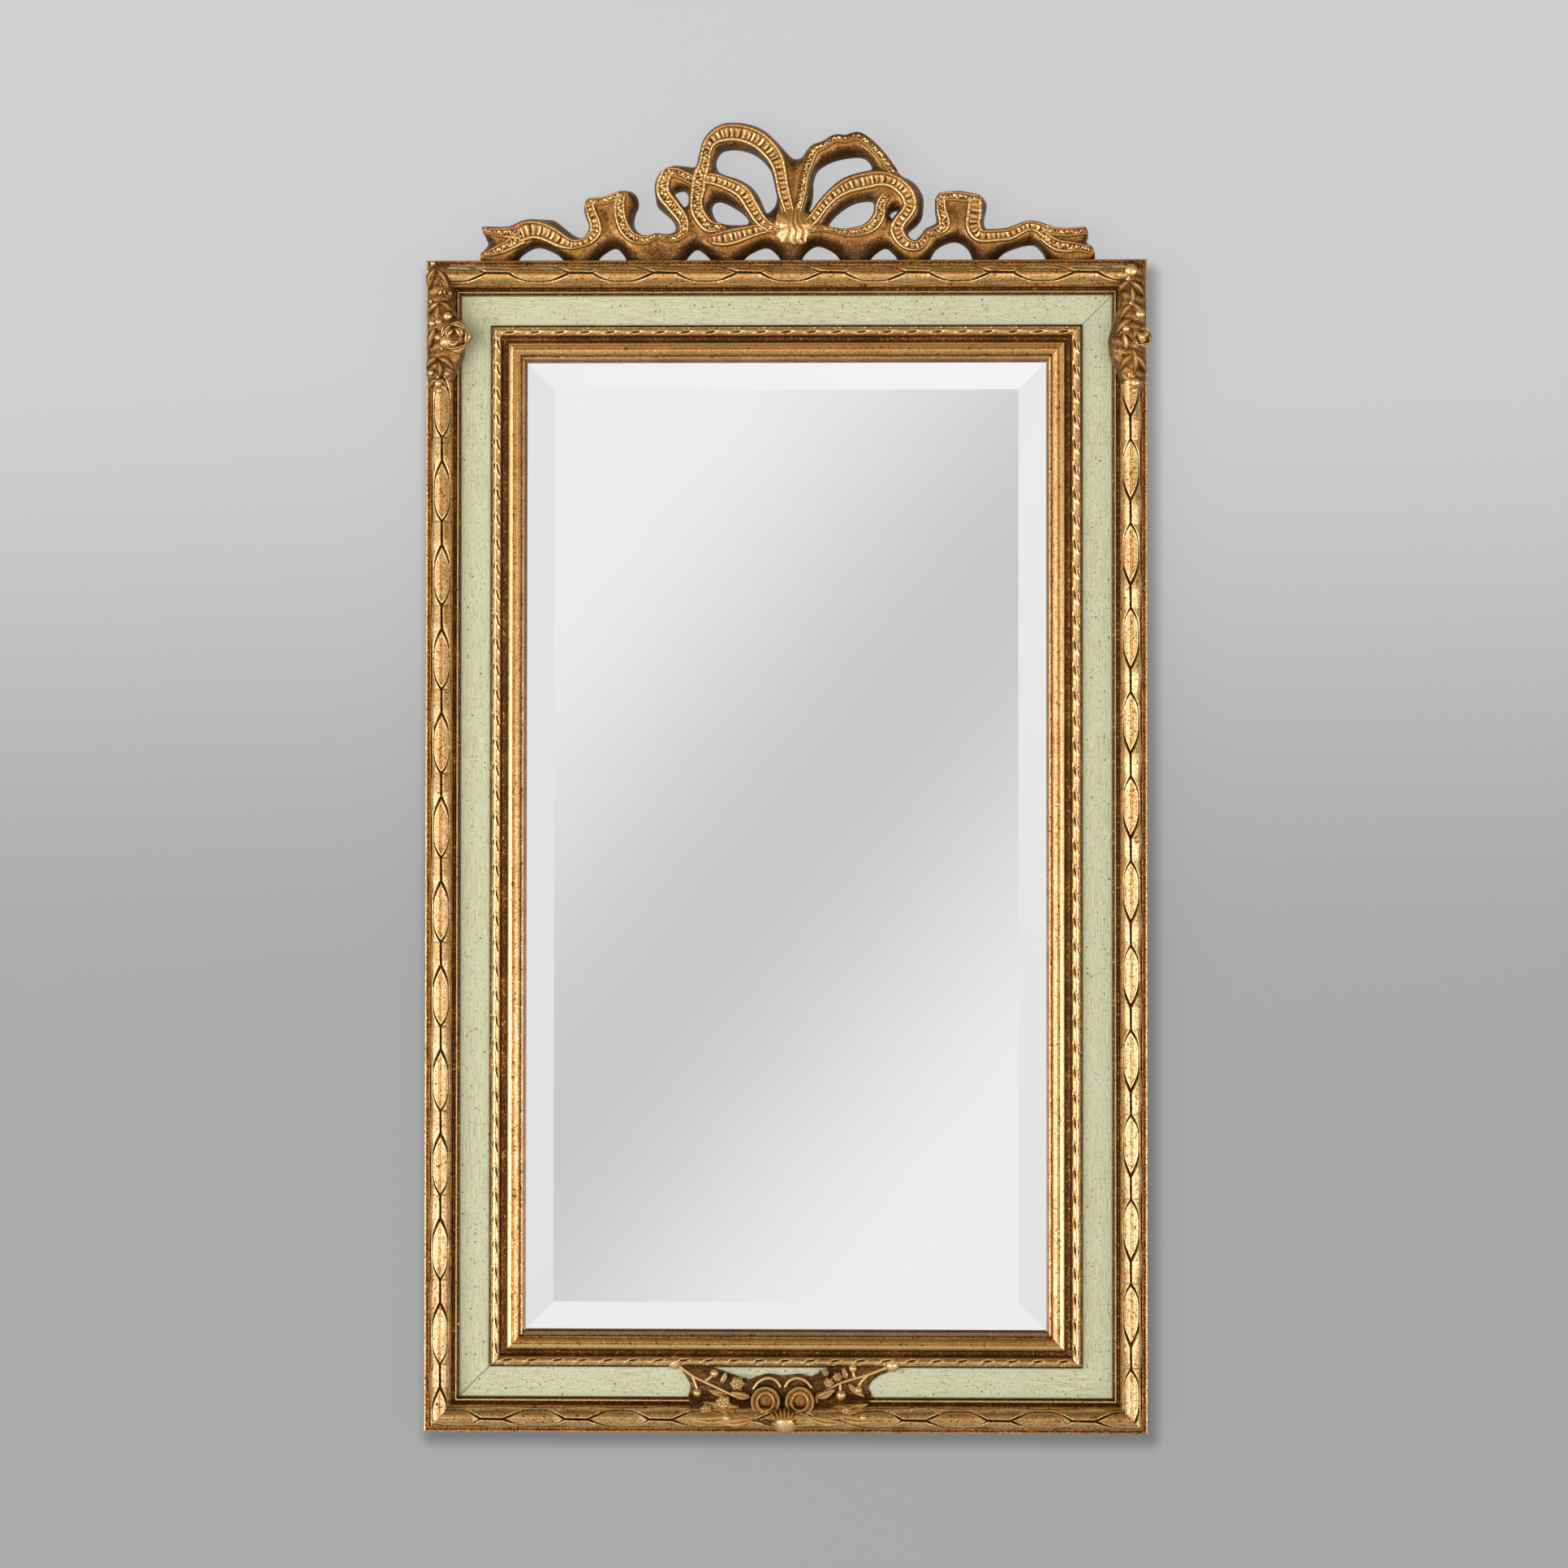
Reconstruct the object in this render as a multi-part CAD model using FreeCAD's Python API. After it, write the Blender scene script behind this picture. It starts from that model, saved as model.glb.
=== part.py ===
import FreeCAD, Part
import math
import os

# Wall mirror: a mitred wooden frame, gilt and painted, with a cast bow on its top edge.
# X runs to the right seen from the front, Y runs into the wall, Z runs up.
# The origin is on the wall, where a hook bears in the hanging ring.

# Frame
FRAME_WIDTH = 500.0
FRAME_HEIGHT = 812.0
RAIL_WIDTH = 62.0
RAIL_THICKNESS = 14.0
CUT_OVERRUN = 5.0

# Outer moulding, heights above the rail's face
OUTER_WIDTH = 24.6
OUTER_EDGE_WIDTH = 4.6
OUTER_EDGE_HEIGHT = 8.0
TORUS_WIDTH = 11.0
TORUS_HEIGHT = 16.0
HOLLOW_WIDTH = 5.4
HOLLOW_HEIGHT = 3.4
HOLLOW_RIM_HEIGHT = 7.5
INNER_FILLET_HEIGHT = 4.6

# Sight moulding, heights above the rail's face
SIGHT_WIDTH = 23.9
SIGHT_EDGE_HEIGHT = 1.6
SIGHT_EDGE_WIDTH = 1.8
BEAD_WIDTH = 5.9
BEAD_FOOT_HEIGHT = 2.4
BEAD_HEIGHT = 6.0
COVE_WIDTH = 5.1
COVE_HEIGHT = 1.0
COVE_RIM_HEIGHT = 2.0
OVOLO_WIDTH = 9.2
OVOLO_HEIGHT = 4.3
OVOLO_FOOT_HEIGHT = 0.8
LIP_WIDTH = 6.4
LIP_STEP_DROP = 1.2
LIP_EDGE_DROP = 2.0

# Plate, paper and board
GLASS_THICKNESS = 4.0
GLASS_EDGE_THICKNESS = 2.0
BEVEL_WIDTH = 25.0
GLASS_CLEARANCE = 1.4
LIP_GAP = 0.1
PAPER_THICKNESS = 0.4
BOARD_THICKNESS = 3.0
BOARD_CLEARANCE = 0.8
BLOCK_LENGTH = 20.0
BLOCK_SPACING_ACROSS = 220.0
BLOCK_SPACING_UP = 480.0

# Mitre tongues
TONGUE_LENGTH = 40.0
TONGUE_WIDTH = 20.0
TONGUE_THICKNESS = 3.0
TONGUE_CLEARANCE = 0.1

# Turn buttons and their screws
BUTTON_LENGTH = 34.0
BUTTON_WIDTH = 9.0
BUTTON_THICKNESS = 1.5
BUTTON_GAP = 0.2
BUTTON_PIVOT_INSET = 9.0
BUTTON_SPACING_ACROSS = 180.0
BUTTON_SPACING_UP = 420.0
SCREW_DIAMETER = 3.0
SCREW_DEPTH = 9.0
SCREW_PLAY = 0.08
THREAD_CLEARANCE = 0.03
HEAD_DIAMETER = 6.0
HEAD_HEIGHT = 1.6
HEAD_SLOT_WIDTH = 0.9
HEAD_SLOT_DEPTH = 0.7

# Hanger
RING_DROP = 11.0
RING_INNER_WIDTH = 20.0
RING_WIRE = 3.0
RING_BAR_DROP = 15.0
RING_CORNER_RADIUS = 3.5
KNUCKLE_CLEARANCE = 0.05
KNUCKLE_WALL = 1.2
HANGER_WIDTH = 14.0
HANGER_THICKNESS = 1.2
HANGER_LENGTH = 33.0
HANGER_SCREW_DROPS = [8.0, 28.0]

# Wall pads
PAD_THICKNESS = 6.0
PAD_DIAMETER = 14.0
PAD_SIDE_INSET = 24.0
PAD_END_INSET = 76.0

# Crest casting and its dowels, depths above the frame's back
CREST_WIDTH = 430.0
CREST_HEIGHT = 98.5
CREST_BACK = 5.0
CREST_PLATE = 7.0
CREST_RIBBON = 6.0
KNOT_RISE = 1.5
DOWEL_DIAMETER = 5.0
DOWEL_IN_CREST = 7.0
DOWEL_IN_RAIL = 16.0
DOWEL_HEIGHT = 9.0
DOWEL_CLEARANCE = 0.05

# Crest in the photograph, pixels: its ends, foot line and top
CREST_LEFT_PX = 591
CREST_RIGHT_PX = 1351
CREST_FOOT_PX = 325
CREST_TOP_PX = 152
RIBBON_FOOT_PX = 323
CREST_EDGE_PX = [
    (593, 313), (602, 302), (600, 295), (595, 283), (598, 279), (625, 279), (641, 274), (656, 270.6),
    (673, 270.6), (686, 273), (703, 286), (715, 293), (724, 291), (729, 283), (725.5, 274), (722, 265),
    (721, 256), (724, 248), (732, 244.6), (751, 243), (770, 236.5), (780, 237), (787, 244), (788.5, 255),
    (785, 264), (783, 274), (785, 283), (793, 289.6), (803, 290), (813, 287.6), (824, 288.6), (832, 286),
    (834, 280), (829, 271), (820, 263), (812, 255), (809.4, 243), (811, 226), (819, 212.5), (830, 205),
    (842, 205), (857, 206.5), (860.5, 201), (862, 193), (866, 185), (867, 176), (872, 169), (882, 160.4),
    (893, 154.3), (905, 152), (919, 153), (934, 157), (947, 164.5), (959, 175.7), (968.5, 186), (977, 195),
    (984, 197), (990, 194.5), (996, 186), (1003, 179), (1015, 175.8), (1030, 168.4), (1045, 168.9),
    (1060, 165.5), (1070, 170.7), (1085, 184.4), (1098, 200.5), (1112, 217), (1123, 223), (1132, 230.5),
    (1139, 243), (1140, 256), (1138, 270), (1132, 279), (1123, 286.5), (1121.5, 291), (1125, 296),
    (1130, 296.5), (1136, 291), (1142, 283), (1150, 279), (1155.5, 274.5), (1154.5, 263), (1154, 250),
    (1157, 242), (1165, 238), (1184, 236.4), (1198, 239), (1211, 244), (1217, 251), (1217.5, 260),
    (1215, 270), (1215, 279), (1220, 284), (1235, 282.5), (1249, 280.5), (1260, 276), (1271, 273),
    (1283, 275), (1295, 279.4), (1312, 283), (1327, 282), (1336, 281), (1342, 285.5), (1342.4, 294),
    (1341.4, 301), (1347, 305), (1351, 314),
]
CREST_ARCHES_PX = [
    (1292, 1272, 303.5, 1227), (1202, 1178, 299.6, 1146), (1110, 1093, 307.3, 1072),
    (1040, 1010, 304.4, 988), (966, 946, 306.3, 915), (880, 861, 308.4, 845),
    (775, 760, 306.7, 736), (699, 665, 305.4, 637),
]
CREST_HOLES_PX = [
    [(833.7, 241), (839, 237), (846, 237), (850, 243), (849.5, 251), (845, 255.5), (839, 251)],
    [(884.7, 200), (891, 189), (902, 185.7), (916, 186.5), (930, 191), (942, 199.5), (951, 210.5),
     (957, 223), (959.5, 237), (957, 254), (948, 263), (944, 258), (938.5, 245.5), (931, 234.5),
     (922, 227), (910, 221), (897, 217), (887, 211.5)],
    [(879.4, 260), (882, 252), (889, 249.7), (898, 252.4), (909, 258.5), (918, 265), (923.8, 272),
     (922, 277), (910, 277.8), (896, 277), (885.5, 273.5)],
    [(1004.5, 226), (1009, 213), (1018, 205.5), (1030, 200), (1045, 196.5), (1060, 195.3), (1070, 198.5),
     (1076, 208), (1068, 214.5), (1051, 219.2), (1034, 229.5), (1023, 238.5), (1014, 249), (1006, 261),
     (1000, 260.5), (1003, 250), (1004.3, 238)],
    [(1024, 279), (1030, 269.5), (1041, 260), (1053, 253), (1066, 249.8), (1077, 250.5), (1078.5, 261),
     (1075, 274), (1062, 279), (1046, 282), (1032, 282.5)],
    [(1099.2, 266.5), (1103.5, 262), (1108.5, 262), (1107.5, 267.5), (1102.5, 271)],
]
RIBBONS_PX = {
    "left_tail_upper": [(597, 284, 2.5), (612, 287, 4.5), (626, 287.5, 6), (644, 287, 9)],
    "left_tail_lower": [(597, 315, 2.5), (608, 312, 4), (620, 307, 6), (632, 301, 7), (646, 292, 9)],
    "left_wave": [(640, 289, 11), (650, 285, 11.5), (660, 283.5, 11), (672, 286, 10.5), (683, 291, 10),
                  (694, 297, 9), (705, 301.5, 6.5), (716, 301.5, 5), (728, 296, 6), (736, 286, 7),
                  (736, 275, 6.5), (732, 265, 6), (728, 252, 5)],
    "left_fold": [(727, 250, 4.5), (746, 248.5, 4.6), (761, 243.5, 4.6), (770, 240, 4.6)],
    "left_strand": [(768, 240, 5.5), (766, 250, 6), (766, 261, 6.5), (768.6, 274, 6.6), (774, 285.5, 6.6),
                    (782, 293.5, 6), (792, 297, 5.3), (802, 296, 4.6), (811, 291.5, 3.5)],
    "left_join": [(812, 291.5, 3), (823, 295, 4), (834, 295, 4.2), (846, 289, 4.5)],
    "small_loop_side": [(824, 214, 6), (819.5, 226, 7.5), (820.5, 240, 8), (830, 253, 7.7), (840, 265.5, 7),
                        (845, 275, 6), (845, 288, 5)],
    "small_loop_top": [(823, 214, 5.5), (836, 214.5, 5.6), (846, 219, 5.6), (858, 225, 5.6)],
    "big_loop_foot": [(872, 189, 6), (870, 203, 6.5), (865, 217, 8), (863, 231, 8.5), (860.5, 247, 7.5),
                      (862, 261, 8), (869, 273, 8), (877, 280, 7.5), (892, 281.5, 4)],
    "low_tail": [(876, 296, 5), (892, 295, 9), (907, 292, 9.5), (922, 288, 8), (938, 284, 6.5), (958, 281, 5)],
    "big_loop_inner": [(868, 221, 6), (882, 222.5, 7), (901, 229, 7.5), (918, 239, 8.5), (929, 256, 8),
                       (941, 274, 7), (960, 287, 5)],
    "big_loop": [(872, 190, 6), (875, 180, 6.5), (882, 172, 8), (893, 166.5, 10), (905, 165, 10.3),
                 (919.4, 167, 10.5), (934.7, 173.2, 10.5), (947, 183, 10.3), (957.5, 196, 9.5),
                 (963, 210.5, 8), (966, 226.7, 7.3), (969, 241, 7), (975, 262, 6)],
    "wavy_loop": [(984, 262, 5.5), (990, 240, 5), (993.3, 219.5, 5), (998.5, 202, 5.5), (1005, 188, 5.5),
                  (1019, 180, 4.5), (1031, 173, 4.5), (1044, 173.5, 4.5), (1058, 170, 4.5), (1069, 176, 5),
                  (1081, 187, 5), (1092, 200, 5), (1103, 216, 5)],
    "right_loop": [(990, 283, 6), (1004, 271, 6.3), (1017, 254, 6.5), (1030, 241, 7.3), (1047, 230.5, 9),
                   (1067, 225, 9.8), (1086, 222, 9), (1101, 225, 8.3), (1113, 233, 8.4), (1121, 243, 8.4),
                   (1123, 254, 7.8), (1118.4, 264.3, 7.5), (1111, 273.5, 7.2), (1107, 281.5, 8),
                   (1108.6, 289.5, 8), (1114, 298, 7.5), (1122, 303.5, 6.7), (1132, 304.5, 5.8),
                   (1139, 300, 5.2), (1143, 292, 3.8)],
    "right_low": [(998, 284, 5), (1012, 283.2, 3.6), (1029, 285.5, 3.6), (1046, 288.3, 4.6), (1063, 286.5, 5.7),
                  (1078, 278.6, 6.7), (1085.7, 266, 6.3), (1087.4, 253, 5.7), (1094, 243, 5)],
    "square_left": [(1142, 290, 3.5), (1156, 286.6, 5), (1164, 281, 6.5), (1165, 272, 6.8), (1162, 262, 6),
                    (1160.5, 246, 5)],
    "square_top": [(1157, 245.5, 5), (1173.8, 244, 5.5), (1187, 245, 5.5), (1207, 248.5, 5.5)],
    "right_wave": [(1203, 247, 8), (1202, 262.5, 9), (1200.5, 275.5, 9), (1203, 286, 8.6), (1211, 292.5, 7.8),
                   (1231.7, 292, 7), (1245.4, 290.3, 7), (1257, 285.1, 6.3), (1268.4, 280.5, 5.8),
                   (1280, 282.4, 6.3), (1292, 289, 8.2)],
    "right_tail_upper": [(1288, 284, 5), (1301, 287.4, 5), (1318, 288.5, 5), (1339.6, 286.3, 4.6)],
    "right_tail_lower": [(1286, 292, 6), (1294, 298.5, 6.5), (1304, 304, 7.3), (1316, 306, 6.8),
                         (1329, 307, 5), (1344, 310.4, 4.6)],
}
KNOT_PX = (980, 279, 20, 22)
DOWELS_PX = [717, 812, 1056, 1214]

# Corner drops, heights above the rail's face
DROP_LENGTH = 90.0
DROP_WIDTH = 30.0
DROP_END_INSET = 7.3
DROP_SIDE_INSET = 0.6
DROP_SPINE_WIDTH = 5.0
DROP_HEIGHT = 18.2
ROSE_DIAMETER = 20.0
ROSE_HEIGHT = 13.0
FLOWER_DIAMETER = 14.5
FLOWER_HEIGHT = 15.0
BUD_DIAMETER = 9.0
LEAF_LENGTH = 17.0
LEAF_WIDTH = 6.0
LEAF_TILT_DEGREES = 27.0
LEAF_PLACE_SHARES = [0.06, 0.27, 0.46, 0.73]
BUD_PLACE_SHARES = [0.08, 0.94]
LEFT_ROSE_SHARES = (0.72, 0.6)
RIGHT_ROSE_SHARES = (0.1, 0.56)

# Bottom spray, heights above the rail's face
SPRAY_WIDTH = 163.0
SPRAY_HEIGHT = 53.5
SPRAY_GROUND = 1.6
STEM_DIAMETER = 3.2
STEM_HEIGHT = 3.0
BOW_RING_DIAMETER = 20.0
BOW_RING_BORE = 11.0
BOW_HEIGHT = 17.0
BOW_ARC_WIDTH = 3.0
BOW_ARC_HEIGHT = 8.0
SHELL_HEIGHT = 17.6
ROSEBUD_DIAMETER = 9.6
BERRY_DIAMETER = 7.4
BERRY_HEIGHT = 4.0
LOW_FLOWER_HEIGHT = 13.0
SPRAY_LEAF_WIDTH = 6.0
SPRAY_LEAF_HEIGHT = 16.8

# Spray in the photograph, pixels: its ends, the frame's lower edge and its top
SPRAY_LEFT_PX = 824
SPRAY_RIGHT_PX = 1113
SPRAY_FOOT_PX = 1766
SPRAY_TOP_PX = 1671
SPRAY_GROUND_PX = [
    (838, 1684), (852, 1686), (876, 1687), (892, 1692), (905, 1697), (920, 1703), (930, 1700), (946, 1695),
    (966, 1697), (986, 1695), (1000, 1698), (1012, 1694), (1020, 1688), (1040, 1686), (1070, 1686),
    (1092, 1682), (1098, 1690), (1080, 1699), (1071, 1710), (1074, 1722), (1066, 1734), (1030, 1748),
    (990, 1754), (966, 1762), (942, 1754), (905, 1750), (860, 1743), (850, 1726), (852, 1710), (846, 1698),
]
SPRAY_SHELL_PX = [(948, 1738), (984, 1738), (989, 1752), (980, 1763), (966, 1765), (952, 1763), (943, 1752)]
BOW_RINGS_PX = [(944.5, 1727), (986.5, 1727)]
BOW_ARCS_PX = [[(929, 1712), (946, 1700), (963, 1710)], [(968, 1710), (984, 1700), (1001, 1711)]]
SPRAY_STEMS_PX = [
    [(836, 1684), (854, 1697), (869, 1704.5), (890, 1714), (912, 1724)],
    [(1097, 1685), (1084, 1690), (1071, 1695), (1036, 1705.5), (1016, 1716)],
]
SPRAY_ROSES_PX = [(832.6, 1681), (910, 1705.5), (893, 1728), (1100, 1683), (1021, 1703)]
SPRAY_LOW_FLOWERS_PX = [(872, 1738), (895, 1735), (1042, 1740)]
SPRAY_LEAVES_PX = [
    [(850, 1744), (880, 1741), (905, 1742), (934, 1737)],
    [(1082, 1743), (1052, 1742), (1022, 1741), (998, 1737)],
]
SPRAY_BERRIES_PX = [(861, 1716), (881.5, 1695), (1037, 1695), (1037, 1720), (1058, 1712), (1051.6, 1689)]

# Derived places
FRAME_TOP = RING_DROP
FRAME_BOTTOM = FRAME_TOP - FRAME_HEIGHT
FRAME_MIDDLE = FRAME_TOP - FRAME_HEIGHT / 2
FRAME_SIDE = FRAME_WIDTH / 2
SIGHT_EDGE = RAIL_WIDTH + LIP_WIDTH
SIGHT_START = SIGHT_EDGE - SIGHT_WIDTH
GLASS_BACK = BOARD_THICKNESS + PAPER_THICKNESS
LIP_OVERLAP = LIP_WIDTH - GLASS_CLEARANCE
BEVEL_DROP = GLASS_THICKNESS - GLASS_EDGE_THICKNESS
LIP_UNDERSIDE = GLASS_BACK + GLASS_EDGE_THICKNESS + BEVEL_DROP * LIP_OVERLAP / BEVEL_WIDTH + LIP_GAP
GLASS_WIDTH = FRAME_WIDTH - 2 * (RAIL_WIDTH + GLASS_CLEARANCE)
GLASS_HEIGHT = FRAME_HEIGHT - 2 * (RAIL_WIDTH + GLASS_CLEARANCE)
KNUCKLE_BORE = RING_WIRE / 2 + KNUCKLE_CLEARANCE
KNUCKLE_RADIUS = KNUCKLE_BORE + KNUCKLE_WALL

SIDES = ["bottom", "left", "top", "right"]
FRONT = FreeCAD.Vector(0, -1, 0)
ACROSS = FreeCAD.Vector(1, 0, 0)
TURN = FreeCAD.Vector(0, 1, 0)

os.makedirs("parts", exist_ok=True)


def depth(height):
    """Place along Y of a height above the frame's back."""
    return -(PAD_THICKNESS + height)


def at(x, height, z):
    """Point at a height above the frame's back."""
    return FreeCAD.Vector(x, depth(height), z)


def save(name, *shapes):
    """Write one node, a single solid or a group of separate ones."""
    shape = shapes[0] if len(shapes) == 1 else Part.makeCompound(list(shapes))
    for solid in shape.Solids:
        if not solid.isValid():
            print("not valid:", name)
    print(name, len(shape.Solids), "solids", round(shape.Volume, 1))
    shape.exportStep(os.path.join("parts", name + ".step"))


def one_solid(shape):
    """The single solid of a boolean result, with its seams merged."""
    merged = shape.removeSplitter()
    if len(merged.Solids) != 1:
        print("pieces in a fused shape:", len(merged.Solids))
    return merged.Solids[0]


def block(low, high):
    """Box between two corners."""
    size = high - low
    return Part.makeBox(size.x, size.y, size.z, low)


def prism(wire_points, low, high):
    """Straight-edged outline in X and Z, raised between two heights above the frame's back."""
    points = [at(x, low, z) for x, z in wire_points]
    face = Part.Face(Part.makePolygon(points + points[:1]))
    return face.extrude(FRONT * (high - low))


def loop_wire(points, height):
    """Closed smooth curve through points in X and Z."""
    curve = Part.BSplineCurve()
    curve.interpolate([at(x, height, z) for x, z in points], PeriodicFlag=True)
    return Part.Wire(curve.toShape())


def open_edge(points, height):
    """Smooth edge through points in X and Z."""
    curve = Part.BSplineCurve()
    curve.interpolate([at(x, height, z) for x, z in points])
    return curve.toShape()


def disc(x, z, low, high, diameter):
    """Round post standing on the frame."""
    return Part.makeCylinder(diameter / 2, high - low, at(x, low, z), FRONT)


def dome(x, z, height, diameter):
    """Ball seated with its middle at a height above the frame's back."""
    return Part.makeSphere(diameter / 2, at(x, height, z))


def place_side(shape, side):
    """Turn a length made for the bottom of the frame to its own side."""
    moved = shape.copy()
    moved.rotate(FreeCAD.Vector(0, 0, 0), TURN, SIDES.index(side) * 360 / len(SIDES))
    spots = {
        "bottom": FreeCAD.Vector(0, 0, FRAME_BOTTOM),
        "left": FreeCAD.Vector(-FRAME_SIDE, 0, FRAME_MIDDLE),
        "top": FreeCAD.Vector(0, 0, FRAME_TOP),
        "right": FreeCAD.Vector(FRAME_SIDE, 0, FRAME_MIDDLE),
    }
    moved.translate(spots[side])
    return moved


def side_length(side):
    return FRAME_WIDTH if side in ("bottom", "top") else FRAME_HEIGHT


def mitred(edges, side):
    """Section in inward distance and height, run along one side and mitred at both ends."""
    length = side_length(side)
    face = Part.Face(Part.Wire(edges))
    face.translate(ACROSS * (-length / 2))
    run = face.extrude(ACROSS * length)
    reach = SIGHT_EDGE + CUT_OVERRUN
    corners = [(-length / 2, 0), (length / 2, 0), (length / 2 - reach, reach), (reach - length / 2, reach)]
    wedge = prism(corners, -CUT_OVERRUN, RAIL_THICKNESS + TORUS_HEIGHT + CUT_OVERRUN)
    return place_side(run.common(wedge).Solids[0], side)


def section_edges(steps):
    """Edges of a closed section: each step is a corner, or a curve's middle and end."""
    start = at(0, steps[0][1], steps[0][0])
    edges = []
    here = start
    for step in steps[1:] + steps[:1]:
        if len(step) == 2:
            there = at(0, step[1], step[0])
            edges.append(Part.LineSegment(here, there).toShape())
        else:
            middle = at(0, step[1], step[0])
            there = at(0, step[3], step[2])
            edges.append(Part.Arc(here, middle, there).toShape())
        here = there
    return edges


def base_section():
    return section_edges([(0, 0), (0, RAIL_THICKNESS), (RAIL_WIDTH, RAIL_THICKNESS), (RAIL_WIDTH, 0)])


def outer_section():
    face = RAIL_THICKNESS
    torus_end = OUTER_EDGE_WIDTH + TORUS_WIDTH
    hollow_end = torus_end + HOLLOW_WIDTH
    return section_edges([
        (0, face),
        (0, face + OUTER_EDGE_HEIGHT),
        (OUTER_EDGE_WIDTH, face + OUTER_EDGE_HEIGHT),
        (OUTER_EDGE_WIDTH + TORUS_WIDTH / 2, face + TORUS_HEIGHT, torus_end, face + HOLLOW_RIM_HEIGHT),
        (torus_end + HOLLOW_WIDTH / 2, face + HOLLOW_HEIGHT, hollow_end, face + INNER_FILLET_HEIGHT),
        (OUTER_WIDTH, face + INNER_FILLET_HEIGHT),
        (OUTER_WIDTH, face),
    ])


def sight_section():
    face = RAIL_THICKNESS
    bead_start = SIGHT_START + SIGHT_EDGE_WIDTH
    bead_end = bead_start + BEAD_WIDTH
    cove_end = bead_end + COVE_WIDTH
    ovolo_end = cove_end + OVOLO_WIDTH
    return section_edges([
        (SIGHT_START, face),
        (SIGHT_START, face + SIGHT_EDGE_HEIGHT),
        (bead_start, face + BEAD_FOOT_HEIGHT),
        (bead_start + BEAD_WIDTH / 2, face + BEAD_HEIGHT, bead_end, face + BEAD_FOOT_HEIGHT),
        (bead_end + COVE_WIDTH / 2, face + COVE_HEIGHT, cove_end, face + COVE_RIM_HEIGHT),
        (cove_end + OVOLO_WIDTH / 2, face + OVOLO_HEIGHT, ovolo_end, face + OVOLO_FOOT_HEIGHT),
        (ovolo_end, face - LIP_STEP_DROP),
        (SIGHT_EDGE, face - LIP_EDGE_DROP),
        (SIGHT_EDGE, LIP_UNDERSIDE),
        (RAIL_WIDTH, LIP_UNDERSIDE),
        (RAIL_WIDTH, face),
    ])


def tongue(corner_x, corner_z, clearance):
    """Loose tongue across one mitre, or its slot when given a clearance."""
    long = TONGUE_LENGTH / 2 + clearance
    wide = TONGUE_WIDTH / 2 + clearance
    thick = TONGUE_THICKNESS / 2 + clearance
    shape = block(FreeCAD.Vector(-wide, -thick, -long), FreeCAD.Vector(wide, thick, long))
    slope = math.degrees(math.atan2(corner_x, corner_z))
    shape.rotate(FreeCAD.Vector(0, 0, 0), TURN, slope)
    inset = RAIL_WIDTH / 2
    x = corner_x * (FRAME_SIDE - inset)
    z = FRAME_MIDDLE + corner_z * (FRAME_HEIGHT / 2 - inset)
    shape.translate(at(x, RAIL_THICKNESS / 2, z))
    return shape


def screw(x, z, bearing, sink):
    """Pan-head screw driven from the back, bearing at a height behind the frame's back."""
    back = FreeCAD.Vector(0, 1, 0)
    seat = FreeCAD.Vector(x, depth(-bearing), z)
    shank = Part.makeCylinder(SCREW_DIAMETER / 2, bearing + sink, seat, FRONT)
    head = Part.makeCylinder(HEAD_DIAMETER / 2, HEAD_HEIGHT, seat, back)
    slot_floor = seat.y + HEAD_HEIGHT - HEAD_SLOT_DEPTH
    slot = block(FreeCAD.Vector(x - HEAD_DIAMETER, slot_floor, z - HEAD_SLOT_WIDTH / 2),
                 FreeCAD.Vector(x + HEAD_DIAMETER, slot_floor + HEAD_HEIGHT, z + HEAD_SLOT_WIDTH / 2))
    return one_solid(head.fuse(shank)).cut(slot).Solids[0]


def screw_hole(x, z):
    radius = SCREW_DIAMETER / 2 + THREAD_CLEARANCE
    return Part.makeCylinder(radius, SCREW_DEPTH + CUT_OVERRUN, at(x, -CUT_OVERRUN, z), FRONT)


def button_places():
    """Pivot of each turn button, and whether it reaches across or up."""
    inset = RAIL_WIDTH - BUTTON_PIVOT_INSET
    across = BUTTON_SPACING_ACROSS / 2
    up = BUTTON_SPACING_UP / 2
    places = {}
    for side, z in (("top", FRAME_TOP - inset), ("bottom", FRAME_BOTTOM + inset)):
        places[side + "_left"] = (-across, z, "up")
        places[side + "_right"] = (across, z, "up")
    for side, x in (("left", inset - FRAME_SIDE), ("right", FRAME_SIDE - inset)):
        places[side + "_upper"] = (x, FRAME_MIDDLE + up, "across")
        places[side + "_lower"] = (x, FRAME_MIDDLE - up, "across")
    return places


def turn_button(x, z, way):
    """Flat bar with round ends, turning on a screw at its middle."""
    low = -(BUTTON_GAP + BUTTON_THICKNESS)
    high = -BUTTON_GAP
    arm = (BUTTON_LENGTH - BUTTON_WIDTH) / 2
    reach_x = arm if way == "across" else 0
    reach_z = arm if way == "up" else 0
    half_x = arm if way == "across" else BUTTON_WIDTH / 2
    half_z = arm if way == "up" else BUTTON_WIDTH / 2
    bar = prism([(x - half_x, z - half_z), (x + half_x, z - half_z), (x + half_x, z + half_z),
                 (x - half_x, z + half_z)], low, high)
    ends = [disc(x + reach_x, z + reach_z, low, high, BUTTON_WIDTH),
            disc(x - reach_x, z - reach_z, low, high, BUTTON_WIDTH)]
    hole = disc(x, z, low - CUT_OVERRUN, high + CUT_OVERRUN, SCREW_DIAMETER + 2 * SCREW_PLAY)
    return one_solid(bar.multiFuse(ends)).cut(hole).Solids[0]


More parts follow.
